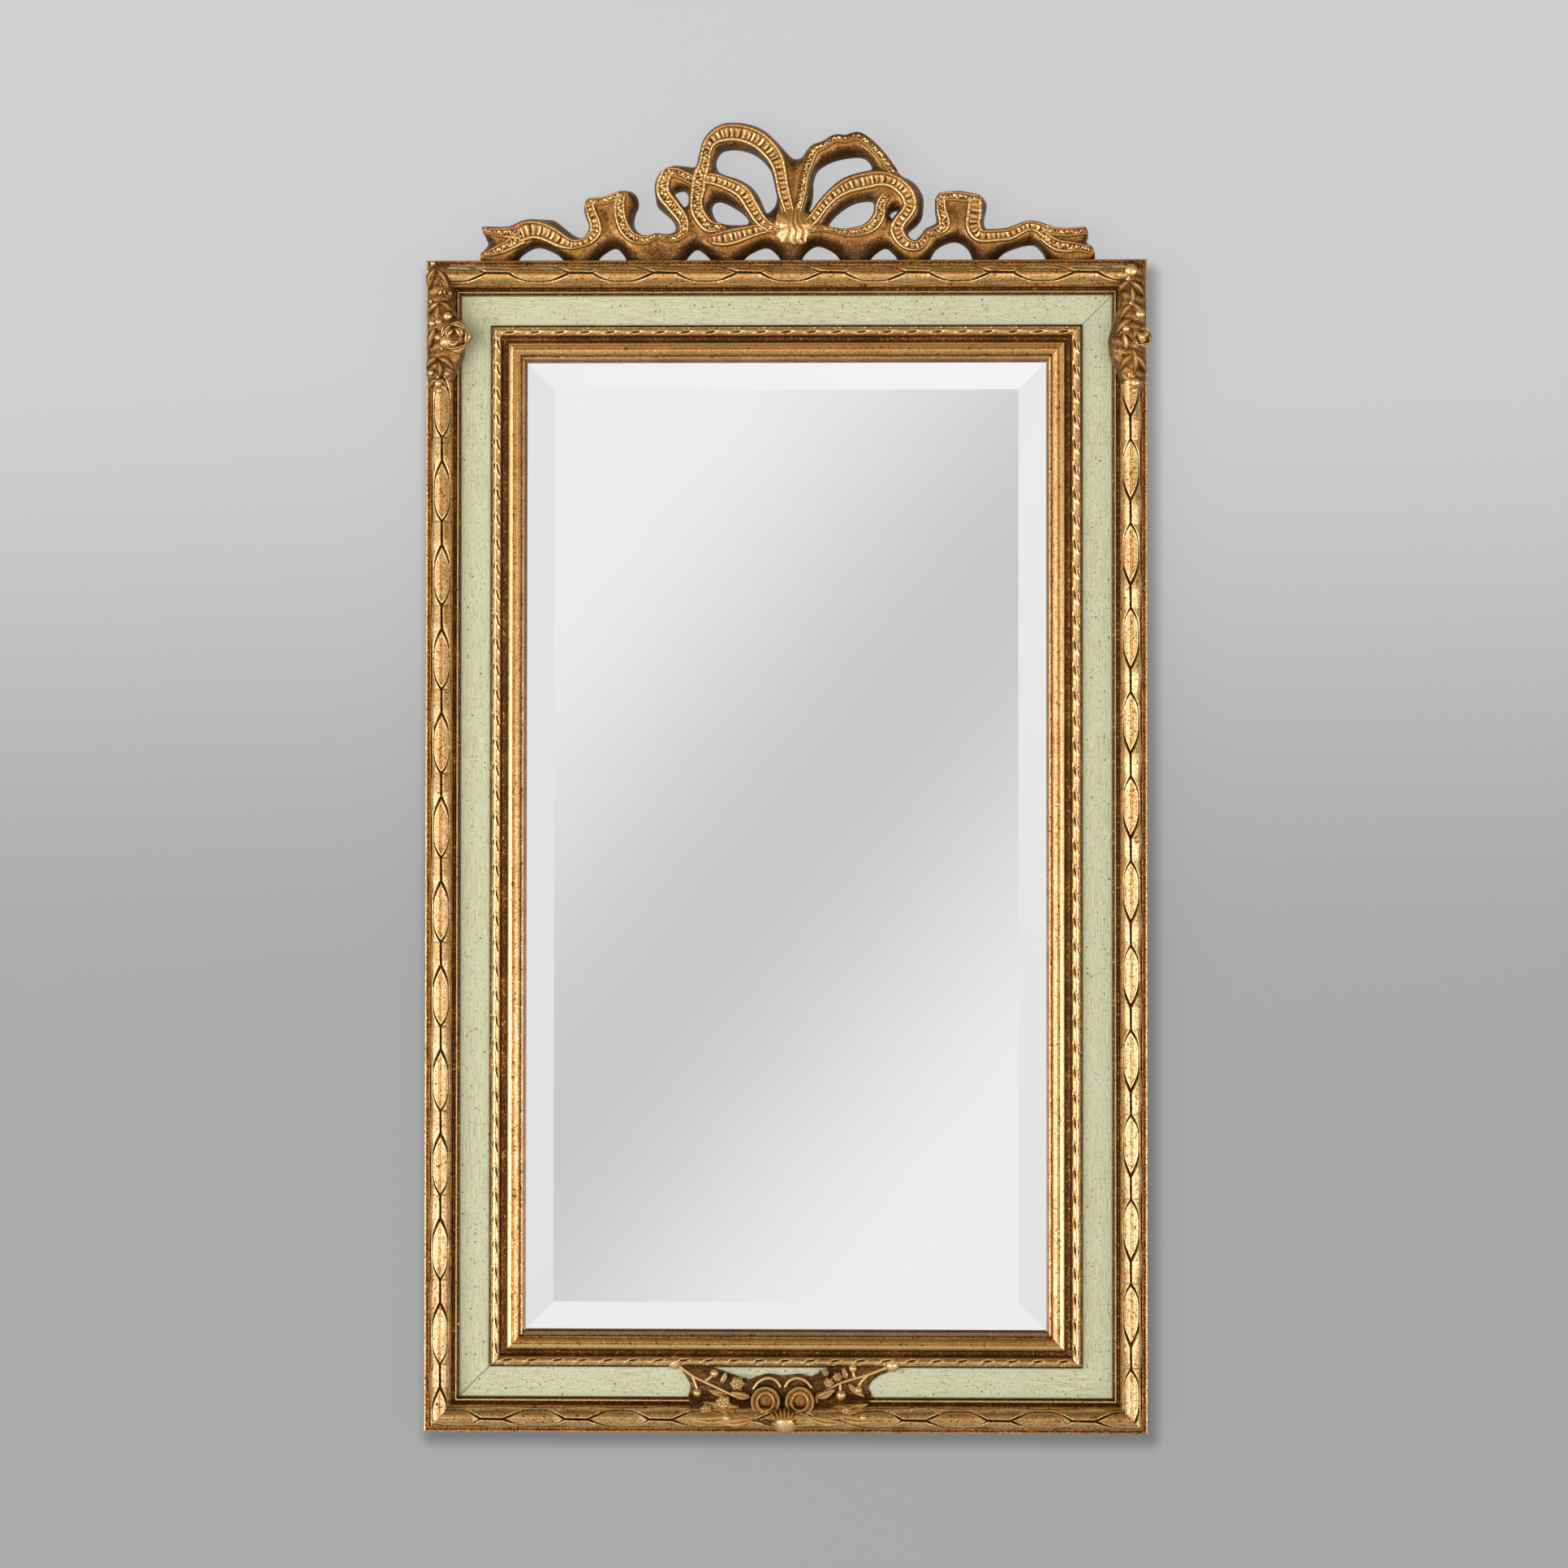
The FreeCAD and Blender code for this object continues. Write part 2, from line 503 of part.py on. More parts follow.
def mirror_plate():
    """Glass with a flat back and a bevel round its front."""
    half_x = GLASS_WIDTH / 2
    half_z = GLASS_HEIGHT / 2
    rims = []
    for height, inset in ((GLASS_EDGE_THICKNESS, 0), (GLASS_THICKNESS, BEVEL_WIDTH)):
        corners = [(-1, -1), (1, -1), (1, 1), (-1, 1), (-1, -1)]
        points = [at(sx * (half_x - inset), GLASS_BACK + height, FRAME_MIDDLE + sz * (half_z - inset))
                  for sx, sz in corners]
        rims.append(Part.makePolygon(points))
    bevel = Part.makeLoft(rims, True, True)
    slab = block(at(-half_x, GLASS_BACK + GLASS_EDGE_THICKNESS, FRAME_MIDDLE - half_z),
                 at(half_x, GLASS_BACK, FRAME_MIDDLE + half_z))
    return one_solid(slab.fuse(bevel))


def sheet(inset, low, high):
    """Flat panel inside the rails."""
    half_x = FRAME_SIDE - inset
    half_z = FRAME_HEIGHT / 2 - inset
    return block(at(-half_x, high, FRAME_MIDDLE - half_z), at(half_x, low, FRAME_MIDDLE + half_z))


def glass_blocks():
    """Cork blocks between the plate's edge and the rails, two to a side."""
    low = GLASS_BACK
    high = GLASS_BACK + GLASS_EDGE_THICKNESS
    blocks = []
    for side in SIDES:
        spacing = BLOCK_SPACING_ACROSS if side in ("bottom", "top") else BLOCK_SPACING_UP
        for end in (-1, 1):
            middle = end * spacing / 2
            cork = block(FreeCAD.Vector(middle - BLOCK_LENGTH / 2, depth(high), RAIL_WIDTH),
                         FreeCAD.Vector(middle + BLOCK_LENGTH / 2, depth(low), RAIL_WIDTH + GLASS_CLEARANCE))
            blocks.append(place_side(cork, side))
    return blocks


def hanger_plate():
    """Strap screwed to the top rail, rolled round the ring's bar at its upper end."""
    axis = at(-HANGER_WIDTH / 2, -KNUCKLE_RADIUS, -RING_BAR_DROP)
    roll = Part.makeCylinder(KNUCKLE_RADIUS, HANGER_WIDTH, axis, ACROSS)
    strap = block(at(-HANGER_WIDTH / 2, 0, -RING_BAR_DROP - HANGER_LENGTH),
                  at(HANGER_WIDTH / 2, -HANGER_THICKNESS, -RING_BAR_DROP))
    shape = one_solid(roll.fuse(strap))
    bore_start = axis - ACROSS * CUT_OVERRUN
    shape = shape.cut(Part.makeCylinder(KNUCKLE_BORE, HANGER_WIDTH + 2 * CUT_OVERRUN, bore_start, ACROSS))
    for drop in HANGER_SCREW_DROPS:
        hole = disc(0, -RING_BAR_DROP - drop, -CUT_OVERRUN, CUT_OVERRUN, SCREW_DIAMETER + 2 * SCREW_PLAY)
        shape = shape.cut(hole)
    return shape.Solids[0]


def hanger_ring():
    """D-shaped wire ring whose straight bar turns in the strap's knuckle."""
    height = -KNUCKLE_RADIUS
    half = (RING_INNER_WIDTH + RING_WIRE) / 2
    corner = RING_CORNER_RADIUS
    bar = -RING_BAR_DROP
    bow = -RING_INNER_WIDTH / 2
    inner = corner * (1 - math.sqrt(2) / 2)
    path = [
        Part.LineSegment(at(0, height, bar), at(half - corner, height, bar)),
        Part.Arc(at(half - corner, height, bar), at(half - inner, height, bar + inner),
                 at(half, height, bar + corner)),
        Part.LineSegment(at(half, height, bar + corner), at(half, height, bow)),
        Part.Arc(at(half, height, bow), at(0, height, bow + half), at(-half, height, bow)),
        Part.LineSegment(at(-half, height, bow), at(-half, height, bar + corner)),
        Part.Arc(at(-half, height, bar + corner), at(inner - half, height, bar + inner),
                 at(corner - half, height, bar)),
        Part.LineSegment(at(corner - half, height, bar), at(0, height, bar)),
    ]
    wire = Part.Wire([piece.toShape() for piece in path])
    round_section = Part.Wire(Part.makeCircle(RING_WIRE / 2, at(0, height, bar), ACROSS))
    return wire.makePipeShell([round_section], True, False).Solids[0]


def crest_place(x_px, y_px, foot_px):
    """Place of a photographed point of the crest."""
    middle_px = (CREST_LEFT_PX + CREST_RIGHT_PX) / 2
    x = (x_px - middle_px) * CREST_WIDTH / (CREST_RIGHT_PX - CREST_LEFT_PX)
    z = FRAME_TOP + (foot_px - y_px) * CREST_HEIGHT / (CREST_FOOT_PX - CREST_TOP_PX)
    return x, z


def crest_plate():
    """Pierced back of the crest: feet and arches below, the bow's outline above."""
    edge = [crest_place(x, y, CREST_FOOT_PX) for x, y in CREST_EDGE_PX]
    left = crest_place(CREST_LEFT_PX, CREST_FOOT_PX, CREST_FOOT_PX)
    right = crest_place(CREST_RIGHT_PX, CREST_FOOT_PX, CREST_FOOT_PX)
    edges = [open_edge([left] + edge + [right], CREST_BACK)]
    here = at(right[0], CREST_BACK, FRAME_TOP)
    for right_px, top_px, rise_px, left_px in CREST_ARCHES_PX:
        ends = [crest_place(x, CREST_FOOT_PX, CREST_FOOT_PX) for x in (right_px, left_px)]
        top = crest_place(top_px, rise_px, CREST_FOOT_PX)
        start, end = [at(x, CREST_BACK, FRAME_TOP) for x, z in ends]
        edges.append(Part.LineSegment(here, start).toShape())
        edges.append(open_edge([ends[0], top, ends[1]], CREST_BACK))
        here = end
    edges.append(Part.LineSegment(here, at(left[0], CREST_BACK, FRAME_TOP)).toShape())
    face = Part.Face(Part.Wire(edges))
    for hole in CREST_HOLES_PX:
        wire = loop_wire([crest_place(x, y, CREST_FOOT_PX) for x, y in hole], CREST_BACK)
        face = face.cut(Part.Face(wire))
    return face.extrude(FRONT * CREST_PLATE)


def ribbon(places_px):
    """One ribbon of the bow, from its middle line and half widths."""
    scale = CREST_WIDTH / (CREST_RIGHT_PX - CREST_LEFT_PX)
    middle = [crest_place(x, y, RIBBON_FOOT_PX) for x, y, half in places_px]
    sides = ([], [])
    for index, (x, z) in enumerate(middle):
        before = middle[max(index - 1, 0)]
        after = middle[min(index + 1, len(middle) - 1)]
        run_x = after[0] - before[0]
        run_z = after[1] - before[1]
        half = places_px[index][2] * scale / math.hypot(run_x, run_z)
        sides[0].append((x - run_z * half, z + run_x * half))
        sides[1].append((x + run_z * half, z - run_x * half))
    low = CREST_BACK + CREST_PLATE
    upper = open_edge(sides[0], low)
    lower = open_edge(sides[1], low)
    caps = [Part.LineSegment(at(sides[0][end][0], low, sides[0][end][1]),
                             at(sides[1][end][0], low, sides[1][end][1])).toShape() for end in (0, -1)]
    face = Part.Face(Part.Wire(Part.sortEdges([upper, lower] + caps)[0]))
    return face.extrude(FRONT * CREST_RIBBON)


def knot():
    """Gathered middle of the bow."""
    x_px, y_px, half_wide_px, half_high_px = KNOT_PX
    x, z = crest_place(x_px, y_px, RIBBON_FOOT_PX)
    scale = CREST_WIDTH / (CREST_RIGHT_PX - CREST_LEFT_PX)
    rim = [(x + half_wide_px * scale * math.cos(turn), z + half_high_px * scale * math.sin(turn))
           for turn in (step * math.pi / 4 for step in range(8))]
    wire = loop_wire(rim, CREST_BACK + CREST_PLATE)
    return Part.Face(wire).extrude(FRONT * (CREST_RIBBON + KNOT_RISE))


def dowel_places():
    return [crest_place(x, CREST_FOOT_PX, CREST_FOOT_PX)[0] for x in DOWELS_PX]


def dowel(x, clearance):
    """Dowel between the top rail and a foot of the crest, or its hole when given a clearance."""
    foot = at(x, DOWEL_HEIGHT, FRAME_TOP - DOWEL_IN_RAIL - clearance)
    length = DOWEL_IN_RAIL + DOWEL_IN_CREST + 2 * clearance
    return Part.makeCylinder(DOWEL_DIAMETER / 2 + clearance, length, foot, FreeCAD.Vector(0, 0, 1))


def crest():
    body = crest_plate().multiFuse([ribbon(places) for places in RIBBONS_PX.values()] + [knot()])
    above = block(FreeCAD.Vector(-CREST_WIDTH, depth(RAIL_THICKNESS + TORUS_HEIGHT), FRAME_TOP),
                  FreeCAD.Vector(CREST_WIDTH, 0, FRAME_TOP + 2 * CREST_HEIGHT))
    body = one_solid(body.common(above))
    for x in dowel_places():
        body = body.cut(dowel(x, DOWEL_CLEARANCE))
    return body.Solids[0]


def leaf(x, z, tilt, low, high):
    """Pointed leaf growing from a point, tilted from straight down."""
    half = LEAF_WIDTH / 2
    tip = -LEAF_LENGTH
    middle = tip / 2
    edges = [Part.Arc(at(0, low, 0), at(half, low, middle), at(0, low, tip)).toShape(),
             Part.Arc(at(0, low, tip), at(-half, low, middle), at(0, low, 0)).toShape()]
    shape = Part.Face(Part.Wire(edges)).extrude(FRONT * (high - low))
    shape.rotate(FreeCAD.Vector(0, 0, 0), TURN, tilt)
    shape.translate(FreeCAD.Vector(x, 0, z))
    return shape


def corner_drop(hand, rose_shares, rose_diameter, rose_height, mouldings):
    """Leaves, buds and a flower hanging down one side of the frame from its upper corner."""
    low = RAIL_THICKNESS
    high = RAIL_THICKNESS + DROP_HEIGHT
    top = FRAME_TOP - DROP_END_INSET
    inset = OUTER_EDGE_WIDTH + TORUS_WIDTH / 2
    spine_x = hand * (FRAME_SIDE - inset)
    half = DROP_SPINE_WIDTH / 2
    pieces = [prism([(spine_x - half, top - DROP_LENGTH + half), (spine_x + half, top - DROP_LENGTH + half),
                     (spine_x + half, top - half), (spine_x - half, top - half)], low, high)]
    for share in LEAF_PLACE_SHARES:
        for way in (-1, 1):
            pieces.append(leaf(spine_x, top - share * DROP_LENGTH, way * LEAF_TILT_DEGREES, low, high))
    for share in BUD_PLACE_SHARES:
        pieces.append(disc(spine_x, top - share * DROP_LENGTH, low, high, BUD_DIAMETER))
    outer = FRAME_SIDE - DROP_SIDE_INSET
    rose_x = hand * (outer - rose_shares[0] * DROP_WIDTH)
    rose_z = top - rose_shares[1] * DROP_LENGTH
    pieces.append(dome(rose_x, rose_z, RAIL_THICKNESS + rose_height, rose_diameter))
    shape = pieces[0].multiFuse(pieces[1:])
    for moulding in mouldings:
        shape = shape.cut(moulding)
    floor = block(FreeCAD.Vector(-FRAME_WIDTH, depth(RAIL_THICKNESS), FRAME_BOTTOM),
                  FreeCAD.Vector(FRAME_WIDTH, CUT_OVERRUN, FRAME_TOP + CREST_HEIGHT))
    shape = shape.cut(floor)
    return one_solid(shape)


def spray_place(x_px, y_px):
    """Place of a photographed point of the bottom spray."""
    middle_px = (SPRAY_LEFT_PX + SPRAY_RIGHT_PX) / 2
    x = (x_px - middle_px) * SPRAY_WIDTH / (SPRAY_RIGHT_PX - SPRAY_LEFT_PX)
    z = FRAME_BOTTOM + (SPRAY_FOOT_PX - y_px) * SPRAY_HEIGHT / (SPRAY_FOOT_PX - SPRAY_TOP_PX)
    return x, z


def band(points_px, width, low, high):
    """Strip of even width along photographed points of the spray."""
    middle = [spray_place(x, y) for x, y in points_px]
    sides = ([], [])
    for index, (x, z) in enumerate(middle):
        before = middle[max(index - 1, 0)]
        after = middle[min(index + 1, len(middle) - 1)]
        run_x = after[0] - before[0]
        run_z = after[1] - before[1]
        half = width / 2 / math.hypot(run_x, run_z)
        sides[0].append((x - run_z * half, z + run_x * half))
        sides[1].append((x + run_z * half, z - run_x * half))
    return prism(sides[0] + sides[1][::-1], low, high)


def bottom_spray(mouldings):
    """Small bow between two flower sprays, cast with a thin ground that lies on the frame."""
    face = RAIL_THICKNESS
    ground = [spray_place(x, y) for x, y in SPRAY_GROUND_PX]
    pieces = [Part.Face(loop_wire(ground, face)).extrude(FRONT * SPRAY_GROUND)]
    for x_px, y_px in BOW_RINGS_PX:
        x, z = spray_place(x_px, y_px)
        ring = disc(x, z, face, face + BOW_HEIGHT, BOW_RING_DIAMETER)
        pieces.append(ring.cut(disc(x, z, face, face + BOW_HEIGHT, BOW_RING_BORE)))
    for arc in BOW_ARCS_PX:
        pieces.append(band(arc, BOW_ARC_WIDTH, face, face + BOW_ARC_HEIGHT))
    for stem in SPRAY_STEMS_PX:
        pieces.append(band(stem, STEM_DIAMETER, face, face + STEM_HEIGHT))
    shell = [spray_place(x, y) for x, y in SPRAY_SHELL_PX]
    pieces.append(Part.Face(loop_wire(shell, face)).extrude(FRONT * SHELL_HEIGHT))
    for leaves in SPRAY_LEAVES_PX:
        pieces.append(band(leaves, SPRAY_LEAF_WIDTH, face, face + SPRAY_LEAF_HEIGHT))
    flowers = [(SPRAY_ROSES_PX, BERRY_HEIGHT, ROSEBUD_DIAMETER), (SPRAY_BERRIES_PX, BERRY_HEIGHT, BERRY_DIAMETER),
               (SPRAY_LOW_FLOWERS_PX, LOW_FLOWER_HEIGHT, ROSEBUD_DIAMETER)]
    for places, height, diameter in flowers:
        for x_px, y_px in places:
            x, z = spray_place(x_px, y_px)
            pieces.append(dome(x, z, face + height, diameter))
    shape = pieces[0].multiFuse(pieces[1:])
    for moulding in mouldings:
        shape = shape.cut(moulding)
    floor = block(FreeCAD.Vector(-FRAME_WIDTH, depth(face), FRAME_BOTTOM - FRAME_HEIGHT),
                  FreeCAD.Vector(FRAME_WIDTH, CUT_OVERRUN, FRAME_TOP))
    shape = shape.cut(floor)
    return one_solid(shape)


# Frame lengths
rails = {side: mitred(base_section(), side) for side in SIDES}
outers = {side: mitred(outer_section(), side) for side in SIDES}
sights = {side: mitred(sight_section(), side) for side in SIDES}

# Slots and holes in the rails
corners = [(-1, -1), (1, -1), (1, 1), (-1, 1)]
for side in SIDES:
    for corner_x, corner_z in corners:
        rails[side] = rails[side].cut(tongue(corner_x, corner_z, TONGUE_CLEARANCE))
    for pivot_x, pivot_z, way in button_places().values():
        rails[side] = rails[side].cut(screw_hole(pivot_x, pivot_z))
for drop in HANGER_SCREW_DROPS:
    rails["top"] = rails["top"].cut(screw_hole(0, -RING_BAR_DROP - drop))
for dowel_x in dowel_places():
    rails["top"] = rails["top"].cut(dowel(dowel_x, DOWEL_CLEARANCE))

for side in SIDES:
    save("base_rail_" + side, rails[side].Solids[0])
    save("outer_moulding_" + side, outers[side])
    save("sight_moulding_" + side, sights[side])
save("mitre_tongues", *[tongue(x, z, 0) for x, z in corners])

# Plate and what closes the back
save("mirror_plate", mirror_plate())
save("packing_sheet", sheet(RAIL_WIDTH + GLASS_CLEARANCE, BOARD_THICKNESS, GLASS_BACK))
save("backing_board", sheet(RAIL_WIDTH + BOARD_CLEARANCE, 0, BOARD_THICKNESS))
save("glass_blocks", *glass_blocks())

# Turn buttons
button_screws = []
for name, (pivot_x, pivot_z, way) in button_places().items():
    save("turn_button_" + name, turn_button(pivot_x, pivot_z, way))
    button_screws.append(screw(pivot_x, pivot_z, 2 * BUTTON_GAP + BUTTON_THICKNESS, SCREW_DEPTH))
save("turn_button_screws", *button_screws)

# Hanger and pads
save("hanger_plate", hanger_plate())
save("hanger_ring", hanger_ring())
save("hanger_screws", *[screw(0, -RING_BAR_DROP - drop, HANGER_THICKNESS, SCREW_DEPTH)
                        for drop in HANGER_SCREW_DROPS])
pad_x = FRAME_SIDE - PAD_SIDE_INSET
pad_z = FRAME_HEIGHT / 2 - PAD_END_INSET
save("wall_pads", *[disc(x * pad_x, FRAME_MIDDLE + z * pad_z, -PAD_THICKNESS, 0, PAD_DIAMETER)
                    for x, z in corners])

# Castings
save("crest", crest())
save("crest_dowels", *[dowel(x, 0) for x in dowel_places()])
side_mouldings = [outers["left"], outers["right"], outers["top"]]
save("corner_drop_left", corner_drop(-1, LEFT_ROSE_SHARES, ROSE_DIAMETER, ROSE_HEIGHT, side_mouldings))
save("corner_drop_right", corner_drop(1, RIGHT_ROSE_SHARES, FLOWER_DIAMETER, FLOWER_HEIGHT, side_mouldings))
save("bottom_spray", bottom_spray([outers["bottom"], sights["bottom"]]))
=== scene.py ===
import math

import bmesh
import bpy
import numpy as np
from bpy.props import FloatProperty, FloatVectorProperty, PointerProperty
from bpy.types import Operator, Panel, PropertyGroup
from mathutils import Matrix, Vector, kdtree


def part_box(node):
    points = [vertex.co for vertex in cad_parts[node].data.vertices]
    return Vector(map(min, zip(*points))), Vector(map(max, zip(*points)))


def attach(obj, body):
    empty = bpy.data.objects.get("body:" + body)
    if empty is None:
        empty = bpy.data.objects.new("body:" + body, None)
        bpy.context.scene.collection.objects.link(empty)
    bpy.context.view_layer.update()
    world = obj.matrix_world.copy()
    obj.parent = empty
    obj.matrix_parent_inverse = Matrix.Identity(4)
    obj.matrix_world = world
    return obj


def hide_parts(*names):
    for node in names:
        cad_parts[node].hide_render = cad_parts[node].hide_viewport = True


bl_info = {
    "name": "Bow-crested wall mirror",
    "version": (1, 0, 0),
    "blender": (4, 5, 0),
    "location": "3D View > Sidebar > Wall Mirror",
    "description": "Dresses the wall mirror with carved gilding, a painted frieze, a cast bow and a bevelled plate",
    "category": "Add Mesh",
}

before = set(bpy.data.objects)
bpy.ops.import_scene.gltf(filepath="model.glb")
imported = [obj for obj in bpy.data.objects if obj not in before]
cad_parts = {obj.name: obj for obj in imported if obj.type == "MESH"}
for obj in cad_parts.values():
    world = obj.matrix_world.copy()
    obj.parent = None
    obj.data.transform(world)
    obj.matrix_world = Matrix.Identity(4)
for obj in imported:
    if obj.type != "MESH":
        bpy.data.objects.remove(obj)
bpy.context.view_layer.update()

# Carving is worked out in millimetres, meshes are in metres
MM = 0.001
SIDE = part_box("base_rail_right")[1][0] / MM
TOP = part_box("base_rail_top")[1][2] / MM
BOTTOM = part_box("base_rail_bottom")[0][2] / MM
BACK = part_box("base_rail_top")[1][1] / MM
MIDDLE = (TOP + BOTTOM) / 2
HALF_HEIGHT = (TOP - BOTTOM) / 2

# Each side is the left one turned about the frame's depth, with the leaves running anticlockwise
SIDE_TURNS = {"left": 0.0, "bottom": -90.0, "right": 180.0, "top": 90.0}
SIDE_HALVES = {"left": HALF_HEIGHT, "bottom": SIDE, "right": HALF_HEIGHT, "top": SIDE}

# Outer moulding: distance from the edge, height above the back, tone
OUTER_EDGE = [(0, 14, 0.06), (0, 18, 0.06), (0, 21.2, 0.3), (0.3, 21.8, 0.6), (0.9, 22.0, 0.55), (1.5, 22.0, 0.15),
              (2.4, 22.1, 0.03), (3.2, 22.1, 0.32), (3.9, 21.9, 0.4), (4.4, 21.2, 0.1), (4.8, 20.6, 0)]
# The inner end steps down to a low foot toned fully dark: partly toning, partly painted shade where the moulding
# meets the frieze
OUTER_INNER = [(16.4, 20.4, 0.05), (17.0, 21.0, 0.3), (17.8, 20.9, 0.55), (18.5, 19.8, 0.4), (19.0, 18.6, 0.12),
               (19.6, 17.8, 0.03), (20.3, 17.6, 0), (20.8, 17.9, 0), (21.1, 18.5, 0.3), (21.5, 18.95, 0.85),
               (22.1, 18.95, 0.85), (22.4, 18.5, 0.2), (22.6, 14.5, 0), (23.4, 14.2, 0), (23.5, 14, 0)]
TORUS_SEAT = (11.0, 20.6)
TORUS_RADII = (6.4, 8.5)

# How far the leaves' stem lies from the torus's crest, as a share of its half
STEM_SHIFTS = {"left": 0.1, "bottom": -0.05, "right": 0.1, "top": -0.1}

# Where the tip of one leaf lies along each side, from the side's middle
LEAF_FIRSTS = {"left": MIDDLE + 287.3, "right": -347.5 - MIDDLE, "top": -157.2, "bottom": -210.0}

# Sight moulding: distance from the edge, height above the back, tone
SIGHT_PROFILE = [
    (44.5, 14, 0), (44.5, 15.3, 0.05), (44.8, 15.7, 0.1), (46.0, 16.0, 0), (46.4, 15.8, 0), (52.1, 15.8, 0),
    (52.4, 16.0, 0.04), (53.0, 15.3, 0.06), (53.8, 15.0, 0.08), (54.8, 14.9, 0.06), (55.6, 15.0, 0.03),
    (56.1, 15.3, 0), (56.4, 15.9, 0.15), (56.8, 16.5, 0.7), (57.6, 17.3, 0.9), (58.8, 18.0, 0.9),
    (59.8, 18.35, 0.8), (60.4, 18.4, 0.35), (60.7, 18.25, 0.2), (61.2, 18.4, 0.45), (62.2, 18.2, 0.55),
    (63.3, 17.7, 0.6), (64.4, 16.9, 0.55), (65.2, 15.9, 0.35), (65.6, 14.9, 0.1), (65.8, 13.4, 0.04),
    (66.2, 13.3, 0.3), (67.0, 13.1, 0.6), (67.4, 12.7, 0.5), (67.5, 12.0, 0.2), (67.5, 6.0, 0.1),
    (62.0, 6.0, 0), (62.0, 14, 0),
]
BEAD_SEAT = (48.9, 15.6)
BEAD_RADII = (3.15, 4.4)

# Points along and across one carved length, and how close the ends of two lengths are joined
LAUREL_GRID = (96, 61)
BEAD_GRID = (47, 31)
LENGTH_JOIN = 0.02

# Gildings: speckle, depth of the surface's unevenness in metres, share of bare metal
GILDINGS = {
    "carved gilding": (0.6, 0.0003, 0.75),
    "sight gilding": (0.45, 0.0002, 0.75),
    "cast gilding": (0.3, 0.0002, 0.5),
}

# Angles in degrees past which an edge stays sharp
MOULDING_SHARP = 35
CASTING_SHARP = 50
CARVING_SHARP = 60

# Crest: millimetres for a pixel of the photograph, across and up, and the pixels it is measured from
CREST_SCALE = (430 / 760, 98.5 / 173)
CREST_MIDDLE_PX = 971
CREST_FOOT_PX = 325
RIBBON_FOOT_PX = 323

# Heights of the crest's parts above the back
CREST_BACK = 5.0
CREST_EDGE = 7.0
CREST_SHOULDER = 15.6
RIBBON_TOP = 18.0
KNOT_TOP = 19.5

# Spacing of the points in the crest's body, in its outline and along its ribbons
CREST_GRID = 0.8
OUTLINE_STEP = 0.4
RIBBON_STEP = 0.6

# Upper edge of the crest, from left to right
CREST_EDGE_PX = [
    (593, 313), (602, 302), (600, 295), (595, 283), (598, 279), (625, 279), (641, 274), (656, 270.6),
    (673, 270.6), (686, 273), (703, 286), (715, 293), (724, 291), (729, 283), (725.5, 274), (722, 265),
    (721, 256), (724, 248), (732, 244.6), (751, 243), (770, 236.5), (780, 237), (787, 244), (788.5, 255),
    (785, 264), (783, 274), (785, 283), (793, 289.6), (803, 290), (813, 287.6), (824, 288.6), (832, 286),
    (834, 280), (829, 271), (820, 263), (812, 255), (809.4, 243), (811, 226), (819, 212.5), (830, 205),
    (842, 205), (857, 206.5), (860.5, 201), (862, 193), (866, 185), (867, 176), (872, 169), (882, 160.4),
    (893, 154.3), (905, 152), (919, 153), (934, 157), (947, 164.5), (959, 175.7), (968.5, 186), (977, 195),
    (984, 197), (990, 194.5), (996, 186), (1003, 179), (1015, 175.8), (1030, 168.4), (1045, 168.9),
    (1060, 165.5), (1070, 170.7), (1085, 184.4), (1098, 200.5), (1112, 217), (1123, 223), (1132, 230.5),
    (1139, 243), (1140, 256), (1138, 270), (1132, 279), (1123, 286.5), (1121.5, 291), (1125, 296),
    (1130, 296.5), (1136, 291), (1142, 283), (1150, 279), (1155.5, 274.5), (1154.5, 263), (1154, 250),
    (1157, 242), (1165, 238), (1184, 236.4), (1198, 239), (1211, 244), (1217, 251), (1217.5, 260),
    (1215, 270), (1215, 279), (1220, 284), (1235, 282.5), (1249, 280.5), (1260, 276), (1271, 273),
    (1283, 275), (1295, 279.4), (1312, 283), (1327, 282), (1336, 281), (1342, 285.5), (1342.4, 294),
    (1341.4, 301), (1347, 305), (1351, 314),
]

# Arches along the crest's foot: right end, peak, the peak's height, left end
CREST_ARCHES_PX = [
    (1292, 1272, 303.5, 1227), (1202, 1178, 299.6, 1146), (1110, 1093, 307.3, 1072),
    (1040, 1010, 304.4, 988), (966, 946, 306.3, 915), (880, 861, 308.4, 845),
    (775, 760, 306.7, 736), (699, 665, 305.4, 637),
]
CREST_HOLES_PX = [
    [(833.7, 241), (839, 237), (846, 237), (850, 243), (849.5, 251), (845, 255.5), (839, 251)],
    [(884.7, 200), (891, 189), (902, 185.7), (916, 186.5), (930, 191), (942, 199.5), (951, 210.5),
     (957, 223), (959.5, 237), (957, 254), (948, 263), (944, 258), (938.5, 245.5), (931, 234.5),
     (922, 227), (910, 221), (897, 217), (887, 211.5)],
    [(879.4, 260), (882, 252), (889, 249.7), (898, 252.4), (909, 258.5), (918, 265), (923.8, 272),
     (922, 277), (910, 277.8), (896, 277), (885.5, 273.5)],
    [(1004.5, 226), (1009, 213), (1018, 205.5), (1030, 200), (1045, 196.5), (1060, 195.3), (1070, 198.5),
     (1076, 208), (1068, 214.5), (1051, 219.2), (1034, 229.5), (1023, 238.5), (1014, 249), (1006, 261),
     (1000, 260.5), (1003, 250), (1004.3, 238)],
    [(1024, 279), (1030, 269.5), (1041, 260), (1053, 253), (1066, 249.8), (1077, 250.5), (1078.5, 261),
     (1075, 274), (1062, 279), (1046, 282), (1032, 282.5)],
    [(1099.2, 266.5), (1103.5, 262), (1108.5, 262), (1107.5, 267.5), (1102.5, 271)],
]

